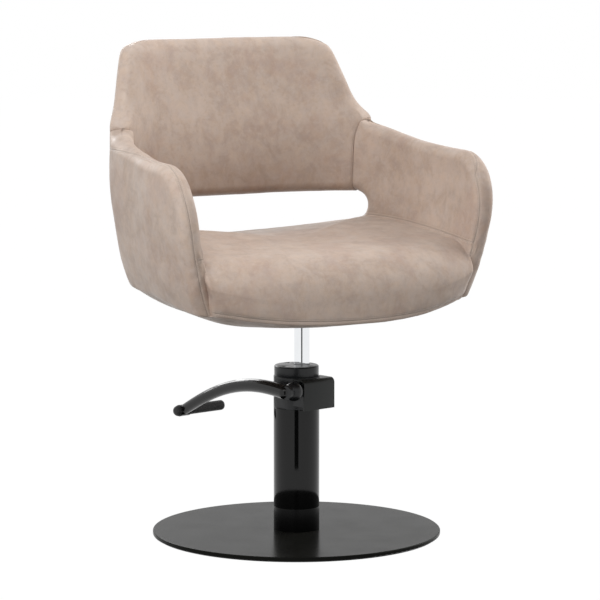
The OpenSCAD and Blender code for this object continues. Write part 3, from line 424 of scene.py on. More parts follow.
# shell outline
# Millimetres over the seat board's top at the ram's axis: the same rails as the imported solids.
shell = {
    "halfWidth": 334, "tuck": 42, "tuckPower": 2.5, "rear": 318, "rearTuck": 10, "recline": 8.5,
    "wideHeight": 281, "lowHeight": -3, "shoulder": 60, "cornerPower": 3,
    "neckHeight": 220, "neckIn": 0.06,
    "splay": 23, "splayFrom": 0.75, "splayLow": 0.62,
    "armFront": 154, "armHeight": 270, "cornerLong": 88, "cornerTall": 115, "armRisePower": 1.75,
    "lean": 17, "leanHeight": 150, "leanPower": 1.5,
    "backThick": 42, "armThick": 43, "thickOver": 0.8, "backHeight": 482, "joinHeight": 320, "joinY": 236,
    "seam": 0.648, "narrow": 0.145, "narrowPower": 1.17, "flare": 0.042, "flareUp": 50, "flareDown": 60,
    "topCorner": 0.11, "topCornerHeight": 28,
    "slotLow": 96, "slotLowRise": 18, "slotTop": 170, "slotTopRise": 1, "slotEnd": 0.715,
    "rearRise": 10, "riseFrom": 0.5, "riseOver": 1.3, "cornerDip": 9, "dipFrom": 1.35, "dipOver": 0.65,
    "middle": 20,  # the depth at which lengths along the shell are measured
    "rimRadius": 19.6, "joinSharp": 0.93, "joinReach": 24,  # the rims are tighter where back and arm meet
}
shell["armTurn"] = -shell["armFront"] + shell["cornerLong"]
shell["slotMiddle"] = (shell["slotLow"] + shell["slotLowRise"] + shell["slotTop"] + shell["slotTopRise"]) / 2
shell["slotRadius"] = shell["slotTop"] + shell["slotTopRise"] - shell["slotMiddle"]

ramLow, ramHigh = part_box("ram_rod")
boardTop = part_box("seat_board")[1].z
shellOrigin = Vector(((ramLow.x + ramHigh.x) / 2, (ramLow.y + ramHigh.y) / 2, boardTop))


def clamp(x, low=0.0, high=1.0):
    return max(low, min(high, x))


def ease(x):
    c = clamp(x)
    return c * c * (3 - 2 * c)


def root(x):
    return sqrt(max(0.0, x))


def arch(x):
    # 0 at either end, 1 in the middle
    return sin(pi * clamp(x))


def bell(x, reach):
    # 1 at 0, and nearly nothing past twice the reach
    return exp(-(x / reach) ** 2)


def drawIn(z):
    return max(0.0, (shell["wideHeight"] - z) / (shell["wideHeight"] - shell["lowHeight"]))


def halfWidthAt(z):
    tuck = shell["tuck"] * drawIn(z) ** shell["tuckPower"]
    return shell["halfWidth"] - tuck - shell["neckIn"] * max(0.0, z - shell["neckHeight"])


def rearAt(z):
    reclined = tan(radians(shell["recline"])) * (z - shell["wideHeight"])
    return shell["rear"] + reclined - shell["rearTuck"] * drawIn(z) ** 5


def splayAt(t, z):
    share = shell["splayLow"] + (1 - shell["splayLow"]) * clamp(z / shell["armHeight"])
    return shell["splay"] * ease((t - shell["splayFrom"]) / shell["splayFrom"]) * share


def leanAt(z):
    return shell["lean"] * max(0.0, 1 - z / shell["leanHeight"]) ** shell["leanPower"]


def sideY(t):
    return shell["shoulder"] - (t - 1) * (shell["shoulder"] + shell["armFront"])


def shellPoint(t, z, inset):
    # t is 0 at the rear's middle, 1 where the side straightens, 2 at the arm's front
    sign, k = (-1 if t < 0 else 1), abs(t)
    w = halfWidthAt(z) + splayAt(k, z) - inset
    if k >= 1:
        return Vector((sign * w, sideY(k) + (k - 1) * leanAt(z), z))
    d = rearAt(z) - shell["shoulder"] - inset
    a = radians(90 * k)
    n = shell["cornerPower"]
    reach = ((sin(a) / w) ** n + (cos(a) / d) ** n) ** (1 / n)
    return Vector((sign * sin(a) / reach, shell["shoulder"] + cos(a) / reach, z))


def perT(t, z, step=0.005):
    # millimetres along the shell for each unit of t
    ahead, behind = (shellPoint(t + way, z, shell["middle"]) for way in (step, -step))
    return (ahead - behind).length / (2 * step)


def lowEdge(t):
    share = ease((abs(t) - shell["riseFrom"]) / shell["riseOver"])
    edge = shell["rearRise"] + (shell["lowHeight"] - shell["rearRise"]) * share
    return edge - shell["cornerDip"] * ease((abs(t) - shell["dipFrom"]) / shell["dipOver"])


def armTop(y):
    turn, height = shell["armTurn"], shell["armHeight"]
    if y > turn:
        rise = ((y - turn) / (shell["joinY"] - turn)) ** shell["armRisePower"]
        return height + (shell["joinHeight"] - height) * rise
    return height - shell["cornerTall"] * (1 - root(1 - ((turn - y) / shell["cornerLong"]) ** 2))


def slotLow(t):
    return shell["slotLow"] + shell["slotLowRise"] * (abs(t) / shell["seam"]) ** 2


def slotTop(t):
    return shell["slotTop"] + shell["slotTopRise"] * (t / shell["seam"]) ** 2


def flareAt(z):
    reach = shell["flareUp"] if z > shell["joinHeight"] else shell["flareDown"]
    return shell["flare"] * max(0.0, 1 - abs(z - shell["joinHeight"]) / reach) ** 2


def backEdge(z):
    up = max(0.0, z - shell["joinHeight"]) / (shell["backHeight"] - shell["joinHeight"])
    q = max(0.0, (z - shell["backHeight"] + shell["topCornerHeight"]) / shell["topCornerHeight"])
    narrowed = shell["seam"] + flareAt(z) - shell["narrow"] * up ** shell["narrowPower"]
    return narrowed - shell["topCorner"] * (1 - root(1 - q * q))


def padThick(t):
    more = ease((abs(t) - shell["seam"]) / shell["thickOver"])
    return shell["backThick"] + (shell["armThick"] - shell["backThick"]) * more


def roundOff(gaps, thick, near):
    # half the pad's thickness, from its distances to two free edges and to where back and arm meet
    r = shell["rimRadius"] * (1 - shell["joinSharp"] * bell(near, shell["joinReach"]))
    q = sqrt(sum((1 - clamp(g / r)) ** 2 for g in gaps))
    return thick / 2 * root(1 - min(1.0, q) ** 2)


def toScene(p):
    return shellOrigin + Vector(p) * 0.001


def rowsFrom(near, reach, pitch):
    # distances from an edge: the nearest as given, the rest even
    count = max(2, round((reach - near[-1]) / pitch))
    return near + [near[-1] + (reach - near[-1]) * k / count for k in range(1, count + 1)]


def rimSteps(reach, pitch):
    # from a free edge, fine over the rounded rim
    r = shell["rimRadius"]
    arcs = [0, 1.5, 3.4, 4.9, 5.9, 6.9, 7.9, 8.9, 10.4, 13, 16.5, 20, 24, 28]
    return rowsFrom([r * (1 - cos(a / r)) for a in arcs if a < r * pi / 2] + [r], reach, pitch)


def seamSteps(reach, pitch):
    # from a sewn edge
    return rowsFrom([0, 0.8, 1.8, 3.2, 5.2, 8], reach, pitch)


def mirrored(steps, whole):
    # steps up to a middle and on from there to the whole, in reverse
    return steps + [whole - d for d in reversed(steps)][1:]


def sewnDip(gap, depth=1.9, reach=2.4, broad=1.1, broadReach=9):
    # how deep the surface is pulled in beside a sewn edge
    return depth * bell(gap, reach) + broad * bell(gap, broadReach)


# pads
seamLayers = ("seamA", "runA", "seamB", "runB")
farAway = 1.0  # a seam's distance, in metres, where there is none
cover = {
    "broad": 0.0011, "broadScale": 9, "dents": 0.0005, "dentScale": 31,
    "pucker": 0.00042, "puckerPitch": 0.019, "puckerReach": 0.0085, "crumple": 0.0006, "crumpleScale": 55,
    "sunk": 0.0009, "sunkReach": 0.0022, "seamReach": 0.02,
    "foldStart": 0.012, "merge": 0.00003,
}
# folds that run out from the corners of seat and arms: millimetres on the shell, two directions to count
# them round, reach and height in metres, and how many
pulls = [
    ((-300, -150, 88), (1, 0, 0), (0, -0.5, 0.87), 0.055, 0.0011, 9),
    ((300, -150, 88), (-1, 0, 0), (0, -0.5, 0.87), 0.05, 0.0009, 9),
    ((-318, -148, 232), (0, 0, 1), (1, 0, 0), 0.03, 0.0008, 8),
    ((318, -148, 232), (0, 0, 1), (1, 0, 0), 0.03, 0.0013, 8),
]


def padMesh(whole, real):
    # a bmesh whose vertices keep what the makers need, with the seams' distances
    bm = bmesh.new()
    kinds = bm.verts.layers
    for key in whole:
        kinds.int.new(key)
    for key in real + seamLayers:
        kinds.float.new(key)
    kept = {key: kinds.int[key] for key in whole}
    kept.update({key: kinds.float[key] for key in real})
    return bm, kept, {key: kinds.float[key] for key in seamLayers}


def newVerts(made):
    return [g for g in made if isinstance(g, bmesh.types.BMVert)]


def doubleSheet(name, columns, rows, place, marks=None):
    # a closed pad: one grid for the outer skin and one for the inner, joined round their edges
    bm, kept, layers = padMesh(("column", "row", "skin"), ())
    bmesh.ops.create_grid(bm, x_segments=columns - 1, y_segments=rows - 1, size=1.0)
    for v in bm.verts:
        v[kept["column"]] = round((v.co.x + 1) / 2 * (columns - 1))
        v[kept["row"]] = round((v.co.y + 1) / 2 * (rows - 1))
    made = bmesh.ops.extrude_face_region(bm, geom=bm.faces[:], use_keep_orig=True)["geom"]
    for v in newVerts(made):
        v[kept["skin"]] = 1
    for v in bm.verts:
        where = v[kept["column"]], v[kept["row"]], v[kept["skin"]]
        v.co = toScene(place(*where))
        found = marks(*where) if marks else {}
        for key, layer in layers.items():
            v[layer] = found.get(key, farAway)
    return finishMesh(name, bm)


def ripple(v, layers):
    # the cover's slight unevenness: broad fullness, small dents, and puckers along the seams
    p = v.co
    out = cover["broad"] * noise.noise(p * cover["broadScale"])
    out += cover["dents"] * noise.noise(p * cover["dentScale"] + Vector((3, 1, 7)))
    for letter in "AB":
        gap, run = v[layers["seam" + letter]], v[layers["run" + letter]]
        if abs(gap) < cover["seamReach"]:
            turn = run * 2 * pi / cover["puckerPitch"] + 5 * noise.noise(p * 12)
            puckers = cover["pucker"] * sin(turn)
            puckers += cover["crumple"] * noise.noise(p * cover["crumpleScale"])
            out += bell(gap, cover["puckerReach"]) * puckers
            out -= cover["sunk"] * bell(gap, cover["sunkReach"])
    for corner, along, across, reach, height, folds in pulls:
        away = p - toScene(corner)
        far = away.length
        if far < 3 * reach:
            around = atan2(away.dot(Vector(across)), away.dot(Vector(along)))
            fold = sin(folds * around + 2 * noise.noise(p * 20))
            out += height * fold * bell(far, reach) * clamp(far / cover["foldStart"])
    return out


def finishMesh(name, bm):
    bmesh.ops.remove_doubles(bm, verts=bm.verts[:], dist=cover["merge"])
    bmesh.ops.dissolve_degenerate(bm, edges=bm.edges[:], dist=cover["merge"])
    bmesh.ops.recalc_face_normals(bm, faces=bm.faces[:])
    bm.normal_update()
    layers = {key: bm.verts.layers.float[key] for key in seamLayers}
    moves = [v.normal * ripple(v, layers) for v in bm.verts]
    for v, move in zip(bm.verts, moves):
        v.co += move
    piece = addMesh(name, bm)
    piece.data.shade_smooth()
    return piece


def upholstered(piece, node, material=upholstery):
    smooth = piece.modifiers.new("smooth", "SUBSURF")
    smooth.levels = smooth.render_levels = 1
    smooth.boundary_smooth = "PRESERVE_CORNERS"
    piece.data.materials.append(material)
    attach(piece, "seat")
    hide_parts(node)
    print(node, "upholstered,", len(piece.data.polygons), "faces")


# back
backPad = {
    "pitch": 9, "bulge": 11.0, "softSide": 31, "sideThin": 0.3, "softTop": 34, "topThin": 0.22, "sewnUp": 22,
    "sideMeasure": 0.4,  # where along the shell its half span is measured
}


def makeBack(look):
    thick, join, top, seam = (shell[key] for key in ("backThick", "joinHeight", "backHeight", "seam"))
    middle = 0.5 * (shell["slotTop"] + top)
    side = rimSteps(seam * perT(look["sideMeasure"], middle), look["pitch"])
    acrosses = mirrored([d / side[-1] - 1 for d in side], 0)
    tall = top - shell["slotTop"]
    heights = mirrored(rimSteps(tall / 2, look["pitch"]), tall)

    def place(i, j, skin):
        u = acrosses[i]
        low = slotTop(u * seam)
        z = low + heights[j] / tall * (top - low)
        edge = backEdge(z)
        t = u * edge
        sideGap = edge * (1 - abs(u)) * perT(min(0.6, abs(t)), z)
        free = sideGap + max(0.0, join - z)
        half = roundOff((z - low if z < middle else top - z, free), thick, hypot(sideGap, z - join))
        if not skin:
            return shellPoint(t, z, thick / 2 - half)
        thin = look["sideThin"] * bell(free, look["softSide"])
        half *= 1 - thin - look["topThin"] * exp(-2 * ((top - z) / look["softTop"]) ** 2)
        if z < join:
            half -= min(half * 0.5, sewnDip(sideGap) * clamp((join - z) / look["sewnUp"]))
        # the face crowns between its edges
        crown = sin(pi * clamp((z - low) / (top - low)) ** 0.85) ** 0.8
        return shellPoint(t, z, thick / 2 + half + look["bulge"] * (1 - u * u) ** 0.7 * crown)

    return doubleSheet("backPad", len(acrosses), len(heights), place)


# arms
armPad = {
    "pitch": 8, "footRound": 9,
    # where the rim's seam runs round it, from 0 on the outer side to 1 on the inner
    "seamShare": {"left": 0.9, "right": 0.4}, "seatSeam": 2.5,
    # how far that seam drops to the outer side: the depth, from the rear end to this share of the rim,
    # and the fall's power
    "seamDrop": {"left": (56, 0.6, 0.5), "right": (50, 0.38, 1.6)},
    "freshOver": 0.06, "footEnd": 1.962, "footPower": 0.92, "depth": 340, "leastReach": 2.2,
    "joinOver": 75, "joinEnd": 0.72, "joinInset": 21, "topSlope": 0.16, "slotMeasure": (0.7, 140),
    "sewnNear": 30, "sewnUp": 22,
    "full": 1.5, "fullRim": 220, "fullFoot": 260,
    "low": 5.0, "lowFoot": 115, "lowPower": 1.3, "lowWay": 120, "lowRim": 90,
}


def armRail(look, t0):
    # the free edge as points (t, z): along the top, round the corner, down the front
    span = shell["shoulder"] + shell["armFront"]
    front = 1 + (shell["shoulder"] - shell["armTurn"]) / span
    rail = []
    for k in range(61):
        t = t0 + (front - t0) * k / 60
        y = shellPoint(t, shell["armHeight"], padThick(t) / 2).y
        fresh = 1 - ease((t - t0) / look["freshOver"])
        rail.append((t, armTop(y) * (1 - fresh) + shell["joinHeight"] * fresh))
    for k in range(1, 31):
        a = radians(3 * k)
        y = shell["armTurn"] - shell["cornerLong"] * sin(a)
        z = shell["armHeight"] - shell["cornerTall"] * (1 - cos(a))
        rail.append((1 + (shell["shoulder"] - y) / span, z))
    start, bottom = rail[-1][1], lowEdge(2)
    for k in range(1, 31):
        rail.append((2.0, start + (bottom - start) * k / 30))
    return rail


def evenly(points, shares):
    # points along a polyline at the given shares of its length on the shell
    solid = [shellPoint(t, z, shell["middle"]) for t, z in points]
    total = [0.0]
    for a, b in zip(solid, solid[1:]):
        total.append(total[-1] + (b - a).length)
    found, k = [], 0
    for share in shares:
        d = share * total[-1]
        while k < len(total) - 2 and total[k + 1] < d:
            k += 1
        s = clamp((d - total[k]) / max(1e-9, total[k + 1] - total[k]))
        a, b = points[k], points[k + 1]
        found.append((a[0] + (b[0] - a[0]) * s, a[1] + (b[1] - a[1]) * s))
    return found, total[-1]


def makeArm(look, name, side):
    # the right arm is the left one mirrored, with seams of its own
    r, join = shell["rimRadius"], shell["joinHeight"]
    slotMiddle, slotRadius = shell["slotMiddle"], shell["slotRadius"]
    t0 = shell["seam"] + 0.0006
    rail = armRail(look, t0)
    length = evenly(rail, [0, 1])[1]
    ways = seamSteps(length, look["pitch"])
    shares = [w / length for w in ways]
    rims = evenly(rail, shares)[0]
    footRail = [(t, lowEdge(t)) for t in (t0 + (look["footEnd"] - t0) * k / 80 for k in range(81))]
    feet = evenly(footRail, [s ** look["footPower"] for s in shares])[0]
    steps = rimSteps(look["depth"], look["pitch"])
    slotCentre = shell["slotEnd"] - slotRadius / perT(shell["slotEnd"], slotMiddle)

    def where(i, j):
        (tr, zr), (tf, zf) = rims[i], feet[i]
        reach = (shellPoint(tr, zr, shell["middle"]) - shellPoint(tf, zf, shell["middle"])).length
        # rim rows keep their distances, the rest share what is left
        d, squeeze = steps[j], min(1.0, reach / (look["leastReach"] * r))
        way = d * squeeze
        if d > r:
            first = r * squeeze
            way = first + (reach - first) * (d - r) / (look["depth"] - r)
        s = way / max(reach, 1e-6)
        t, z = tr + (tf - tr) * s, zr + (zf - zr) * s
        bite = (shell["slotEnd"] - shell["seam"]) * root(1 - ((z - slotMiddle) / slotRadius) ** 2)
        t += (flareAt(z) + bite) * clamp(1 - ways[i] / look["joinOver"]) ** 2
        return t, z, reach - way

    def rimTop(t):
        # height of the free edge behind its front corner
        if t > look["joinEnd"]:
            return armTop(shellPoint(t, shell["armHeight"], padThick(t) / 2).y)
        end = armTop(shellPoint(look["joinEnd"], shell["armHeight"], look["joinInset"]).y)
        return join + (end - join) * clamp((t - t0) / (look["joinEnd"] - t0))

    def gapsAt(t, z):
        # distances to the free edge and to the slot
        turn, corner = shell["armTurn"], shell["armHeight"] - shell["cornerTall"]
        y = sideY(t) if t > 1 else shellPoint(t, z, shell["middle"]).y
        if y < turn and z > corner:
            q = hypot((turn - y) / shell["cornerLong"], (z - corner) / shell["cornerTall"])
            edgeGap = (1 - q) * hypot(turn - y, z - corner) / max(q, 0.01)
            if y > turn - 1:
                edgeGap = min(edgeGap, armTop(turn) - z)
        elif y < turn:
            edgeGap = y + shell["armFront"]
        else:
            edgeGap = (rimTop(t) - z) * cos(atan(look["topSlope"]))
            if (z < corner or y < 0) and y < turn + 20:
                edgeGap = min(edgeGap, max(y + shell["armFront"], 0.0))
        beside = max(0.0, (t - slotCentre) * perT(*look["slotMeasure"]))
        return max(0.0, edgeGap), max(0.0, hypot(beside, z - slotMiddle) - slotRadius)

    def place(i, j, skin):
        t, z, footGap = where(i, j)
        edgeGap, slotGap = gapsAt(t, z)
        if j == 0:
            edgeGap = 0.0
        thick, seamGap = padThick(t), ways[i]
        half = roundOff((edgeGap, slotGap), thick, hypot(seamGap, z - join))
        if skin:
            if seamGap < look["sewnNear"] and abs(z - slotMiddle) / slotRadius > 1.02:
                half -= min(half * 0.5, sewnDip(seamGap) * clamp((join - z) / look["sewnUp"]))
            p = shellPoint(t, z, thick / 2 + half)
        else:
            inset = thick / 2 - half
            if footGap < look["footRound"]:
                s = 1 - clamp(footGap / look["footRound"])
                inset += look["footRound"] * (1 - root(1 - s * s))
            # a slight fullness of the outer panel
            full = arch(edgeGap / look["fullRim"])
            full *= arch(footGap / look["fullFoot"])
            low = arch(footGap / look["lowFoot"]) ** look["lowPower"]
            low *= clamp(seamGap / look["lowWay"]) * clamp(edgeGap / look["lowRim"])
            p = shellPoint(t, z, inset) + Vector((look["full"] * full + look["low"] * low, 0, 0))
        return Vector((-p.x, p.y, p.z)) if side == "right" else p

    def marks(i, j, skin):
        # distances to the seam round the rim and, on the inner side, to the one along the seat
        t, z, footGap = where(i, j)
        d, run = steps[j], ways[i] * 0.001
        arc = r * acos(clamp(1 - d / r)) if d < r else r * pi / 2 + d - r
        signed = arc if skin else -arc
        line = r * asin(2 * look["seamShare"][side] - 1)
        fall, share, power = look["seamDrop"][side]
        drop = fall * clamp(1 - ways[i] / (share * length)) ** power
        found = {"seamA": (signed - line + drop) * 0.001, "runA": run}
        if skin and signed > line - 1:
            found.update(seamB=(z - seatLine(t) - look["seatSeam"]) * 0.001, runB=run)
        return found

    return doubleSheet(name, len(ways), len(steps), place, marks)


# seat
seatPad = {
    "front": 216, "sideHeight": 94, "sideRear": 126, "cornerIn": 3, "frontPower": 2.2,
    "frontDip": 37, "frontDipPower": 2.4, "frontSag": 4, "lip": 30,
    "rollFront": 9, "rollRear": 16, "rollSide": 6, "frontRoll": 78, "leastHeight": 60, "overlap": 2.5,
    "frontSide": 26, "frontSpread": 11, "spreadUp": 60, "cornerBack": 6.5,
    "armEnd": 1.952, "spreadFrom": 1.78, "spreadOver": 0.17,
    "cornerOver": 0.012, "rollOver": 0.05, "lineOver": 0.05, "frontOver": 0.03,
    "crown": 9, "middleY": 10, "hollow": 1.6, "hollowOver": 0.05, "slopePower": 1.4,
    "belly": 1.2, "footRound": 4, "footRoundOver": 0.07, "rearIn": 0.6, "underIn": 40, "underSide": 30,
    "seamUp": 9, "grid": 72, "topPower": 1.25, "rollRows": 9, "wallRows": 14, "underRows": [3.25, 3.6, 4.0],
}


def seatLine(t):
    # height of the seat's edge along the arm
    k = abs(t)
    if k < shell["seam"]:
        return slotLow(k)
    front, rear, seam = seatPad["sideHeight"], seatPad["sideRear"], shell["seam"]
    line = front + (rear - front) * (2 - min(2, k)) / (2 - seam)
    return line - (rear - slotLow(seam)) * bell(k - seam, seatPad["lineOver"])


def frontWidth(z):
    return halfWidthAt(z) + splayAt(2, z)


def frontPoint(q, z, inset):
    # q is -1 to 1 along the seat's front
    corner = seatPad["cornerIn"] - shell["armFront"] + leanAt(z)
    y = corner - (seatPad["front"] + corner) * (1 - abs(q) ** seatPad["frontPower"]) + inset
    return Vector((q * (frontWidth(z) - inset), y, z))


def frontInset(z):
    # the seat's side beside the arm's front edge, wider apart at the top
    more = ease((z - shell["lowHeight"]) / seatPad["spreadUp"])
    return seatPad["frontSide"] + seatPad["frontSpread"] * more


def frontLow(q):
    start = shell["lowHeight"] - shell["cornerDip"]
    return start - (start + seatPad["frontDip"]) * (1 - abs(q) ** seatPad["frontDipPower"])


# The way w round the seat runs 0-1 over the rear, 1-2 down the left, 2-3 over the front, 3-4 up the right.
def rearT(w):
    return -shell["seam"] + 2 * shell["seam"] * w


def sideT(w):
    return shell["seam"] + (seatPad["armEnd"] - shell["seam"]) * (w - 1 if w <= 2 else 4 - w)


def frontQ(w):
    return 1 - 2 * (w - 2)


def seatEdge(w, z, inset):
    # a point of the seat's outline at height z
    seam = shell["seam"]
    if 2 < w < 3:
        q = frontQ(w)
        p = frontPoint(q * ((frontWidth(z) - frontInset(z)) / frontWidth(z)), z, inset)
        p.y += seatPad["cornerBack"] * abs(q) ** 6
        return p
    if w <= 1:
        t = rearT(w)
        side = ease((abs(t) - seam + seatPad["cornerOver"]) / seatPad["cornerOver"])
        return shellPoint(t, z, inset + side * (padThick(seam) - seatPad["overlap"]))
    t = sideT(w) if w <= 2 else -sideT(w)
    spread = padThick(t) - seatPad["overlap"]
    more = ease((abs(t) - seatPad["spreadFrom"]) / seatPad["spreadOver"])
    return shellPoint(t, z, inset + spread + (frontInset(z) - spread) * more)


def seatRoll(w):
    side, front, rear = (seatPad[key] for key in ("rollSide", "rollFront", "rollRear"))
    if 2 < w < 3:
        return side + (front - side) * (1 - abs(frontQ(w)) ** 4) ** 0.7
    if w <= 1:
        over = seatPad["rollOver"]
        return rear + (side - rear) * ease((abs(rearT(w)) - shell["seam"] + over) / over)
    return side


def seatRim(w):
    if 2 < w < 3:
        return seatPad["sideHeight"] - seatPad["frontSag"] * (1 - frontQ(w) * frontQ(w))
    return slotLow(rearT(w)) if w <= 1 else seatLine(sideT(w))


def seatFoot(w):
    if 2 < w < 3:
        return frontLow(frontQ(w))
    return lowEdge(rearT(w) if w <= 1 else sideT(w))


def isFront(w):
    # 1 along the front edge, 0 elsewhere
    over = seatPad["frontOver"]
    return ease((w - 2) / over) * ease((3 - w) / over) if 2 < w < 3 else 0.0


def isRear(w):
    # 1 under the slot, 0 elsewhere
    over = seatPad["cornerOver"]
    return ease(w / over) * ease((1 - w) / over) if w < 1 else 0.0


def seatBlock(w, level):
    # level 0 to 1 is the top from its middle to where it rolls, 1 to 2 the roll, 2 to 3 the wall,
    # over 3 the underside
    rim, roll, foot = seatRim(w), seatRoll(w), seatFoot(w)
    front, rear = isFront(w), isRear(w)
    if level <= 1:
        edge, middle = seatEdge(w, rim, roll), seatPad["middleY"]
        rise = seatPad["crown"] * (1 - level * level)
        rise += (shell["slotLow"] - rim) * (1 - level) ** seatPad["slopePower"]
        hollow = -seatPad["hollow"] * bell(1 - level, seatPad["hollowOver"]) * (1 - front)
        return Vector((edge.x * level, (edge.y - middle) * level + middle, rim + rise + hollow))
    if level <= 2:
        a = (level - 1) * pi / 2
        return seatEdge(w, rim - roll * (1 - cos(a)), roll * (1 - sin(a)))
    top, lip = rim - roll, rim - seatPad["lip"]
    if level <= 3:
        s = level - 2
        z = (top * (1 - s) + lip * s) * rear + (top * (1 - s) + foot * s) * (1 - rear)
        belly = -seatPad["belly"] * arch(s) ** 1.25 * front
        rounded = clamp((s - 1 + seatPad["footRoundOver"]) / seatPad["footRoundOver"])
        under = seatPad["footRound"] * (1 - root(1 - rounded ** 2)) * front
        return seatEdge(w, z, belly + under + seatPad["rearIn"] * rear)
    s = min(1, level - 3)
    inner = seatPad["underIn"] * s
    inset = (seatPad["footRound"] + inner) * front + (seatPad["rearIn"] + inner) * rear
    inset += seatPad["underSide"] * s * (1 - front) * (1 - rear)
    p = seatEdge(w, lip * rear + foot * (1 - rear), inset)
    f = 1 - max(0, level - 4)
    return Vector((p.x * f, p.y * f, p.z * f + shell["lowHeight"] * (1 - f)))


def seatPoint(w, level):
    # the whole front edge, sides included, rolls over forwards
    p = seatBlock(w, level)
    if level > 3:
        return p
    q = clamp(p.x / frontWidth(p.z), -1, 1)
    gap, radius, foot = p.y - frontPoint(q, p.z, 0).y, seatPad["frontRoll"], frontLow(q)
    if gap < radius:
        rest = radius - max(0.0, gap)
        drop = radius - root(radius * radius - rest * rest)
        tall = max(seatRim(w), seatPad["leastHeight"]) - foot
        p.z = foot + (p.z - foot) * (1 - drop / tall)
    return p


def gridWay(a, b, f):
    # the way round the seat to a point of the square grid, with closer columns beside the corners
    if f < 1e-6:
        way = 0.5
    elif abs(b - f) < 1e-6:
        way = (a / f + 1) / 2
    elif abs(a - f) < 1e-6:
        way = 1 + (1 - b / f) / 2
    elif abs(b + f) < 1e-6:
        way = 2 + (1 - a / f) / 2
    else:
        way = 3 + (b / f + 1) / 2
    side = int(min(way, 3.999999))
    share = way - side
    return side + 0.4 * share + 0.3 * (1 - cos(pi * share))


def extended(bm, ring):
    # a new row beyond an open edge: its vertices and its own edges
    made = bmesh.ops.extrude_edge_only(bm, edges=ring)["geom"]
    return newVerts(made), [g for g in made if isinstance(g, bmesh.types.BMEdge) and g.is_boundary]


def makeSeat(look):
    bm, kept, layers = padMesh((), ("way", "level"))
    size = {"x_segments": look["grid"], "y_segments": look["grid"], "size": 1.0}
    top = set(bmesh.ops.create_grid(bm, **size)["verts"])
    bmesh.ops.create_grid(bm, **size)
    for v in bm.verts:
        f = max(abs(v.co.x), abs(v.co.y))
        v[kept["way"]] = gridWay(v.co.x, v.co.y, f)
        v[kept["level"]] = 1 - (1 - f) ** look["topPower"] if v in top else 5 - f
    ring = [e for e in bm.edges if e.is_boundary and e.verts[0] in top]
    levels = [1 + k / look["rollRows"] for k in range(1, look["rollRows"] + 1)]
    levels += [2 + k / look["wallRows"] for k in range(1, look["wallRows"] + 1)] + look["underRows"]
    for level in levels:
        verts, ring = extended(bm, ring)
        for v in verts:
            v[kept["level"]] = level
    for v in bm.verts:
        way, level = v[kept["way"]] % 4, v[kept["level"]]
        p = seatPoint(way, level)
        for layer in layers.values():
            v[layer] = farAway
        # the double line over the front's lower edge
        if 2 < way < 3 and level > 2:
            v[layers["seamA"]] = (p.z - frontLow(frontQ(way)) - look["seamUp"]) * 0.001
            v[layers["runA"]] = p.x * 0.001
        v.co = toScene(p)
    return finishMesh("seatPad", bm)


# rear apron and underside
apronPad = {
    "pitch": 9, "thick": 28, "sideMeasure": (0.4, 60), "upPitch": 6, "under": 0.3,
    "topDip": 1.6, "mostDip": 3, "footRound": 12, "belly": 1.2, "innerIn": 0.4,
}


def makeApron(look):
    edge, foot = shell["seam"] - 0.001, look["footRound"]
    span = edge * perT(*look["sideMeasure"])
    acrosses = mirrored([d / span - 1 for d in seamSteps(span, look["pitch"])], 0)
    shares = mirrored([d / 80 for d in seamSteps(40, look["upPitch"])], 1)

    def place(i, j, skin):
        t = acrosses[i] * edge
        low, top = lowEdge(t), slotLow(t) - seatPad["lip"] - look["under"]
        z = low + shares[j] * (top - low)
        if skin:
            return shellPoint(t, z, look["thick"] - look["innerIn"])
        dip = sewnDip((1 - abs(acrosses[i])) * span) + sewnDip(top - z, look["topDip"])
        roll = foot * (1 - root(1 - (1 - clamp((z - low) / foot)) ** 2))
        full = look["belly"] * arch(shares[j])
        return shellPoint(t, z, min(dip, look["mostDip"]) + roll - full)

    return doubleSheet("rearApron", len(acrosses), len(shares), place)


underside = {
    "edgeIn": 5, "frontIn": 4, "frontEnd": 0.985, "armEnd": 1.9, "fine": 600,
    "lift": 4, "hole": 46, "belly": 50, "curve": 3.2, "around": 128, "thick": 3.5, "edgeThick": 1.2,
    # how far out each ring is, from the rim to the middle
    "rings": [1.0, 0.985, 0.96, 0.92, 0.86, 0.78, 0.69, 0.6, 0.5, 0.4, 0.3, 0.2, 0.12, 0.06, 0.02, 0.0],
    "seamIn": 16, "seamReach": 230, "runReach": 0.25,
}


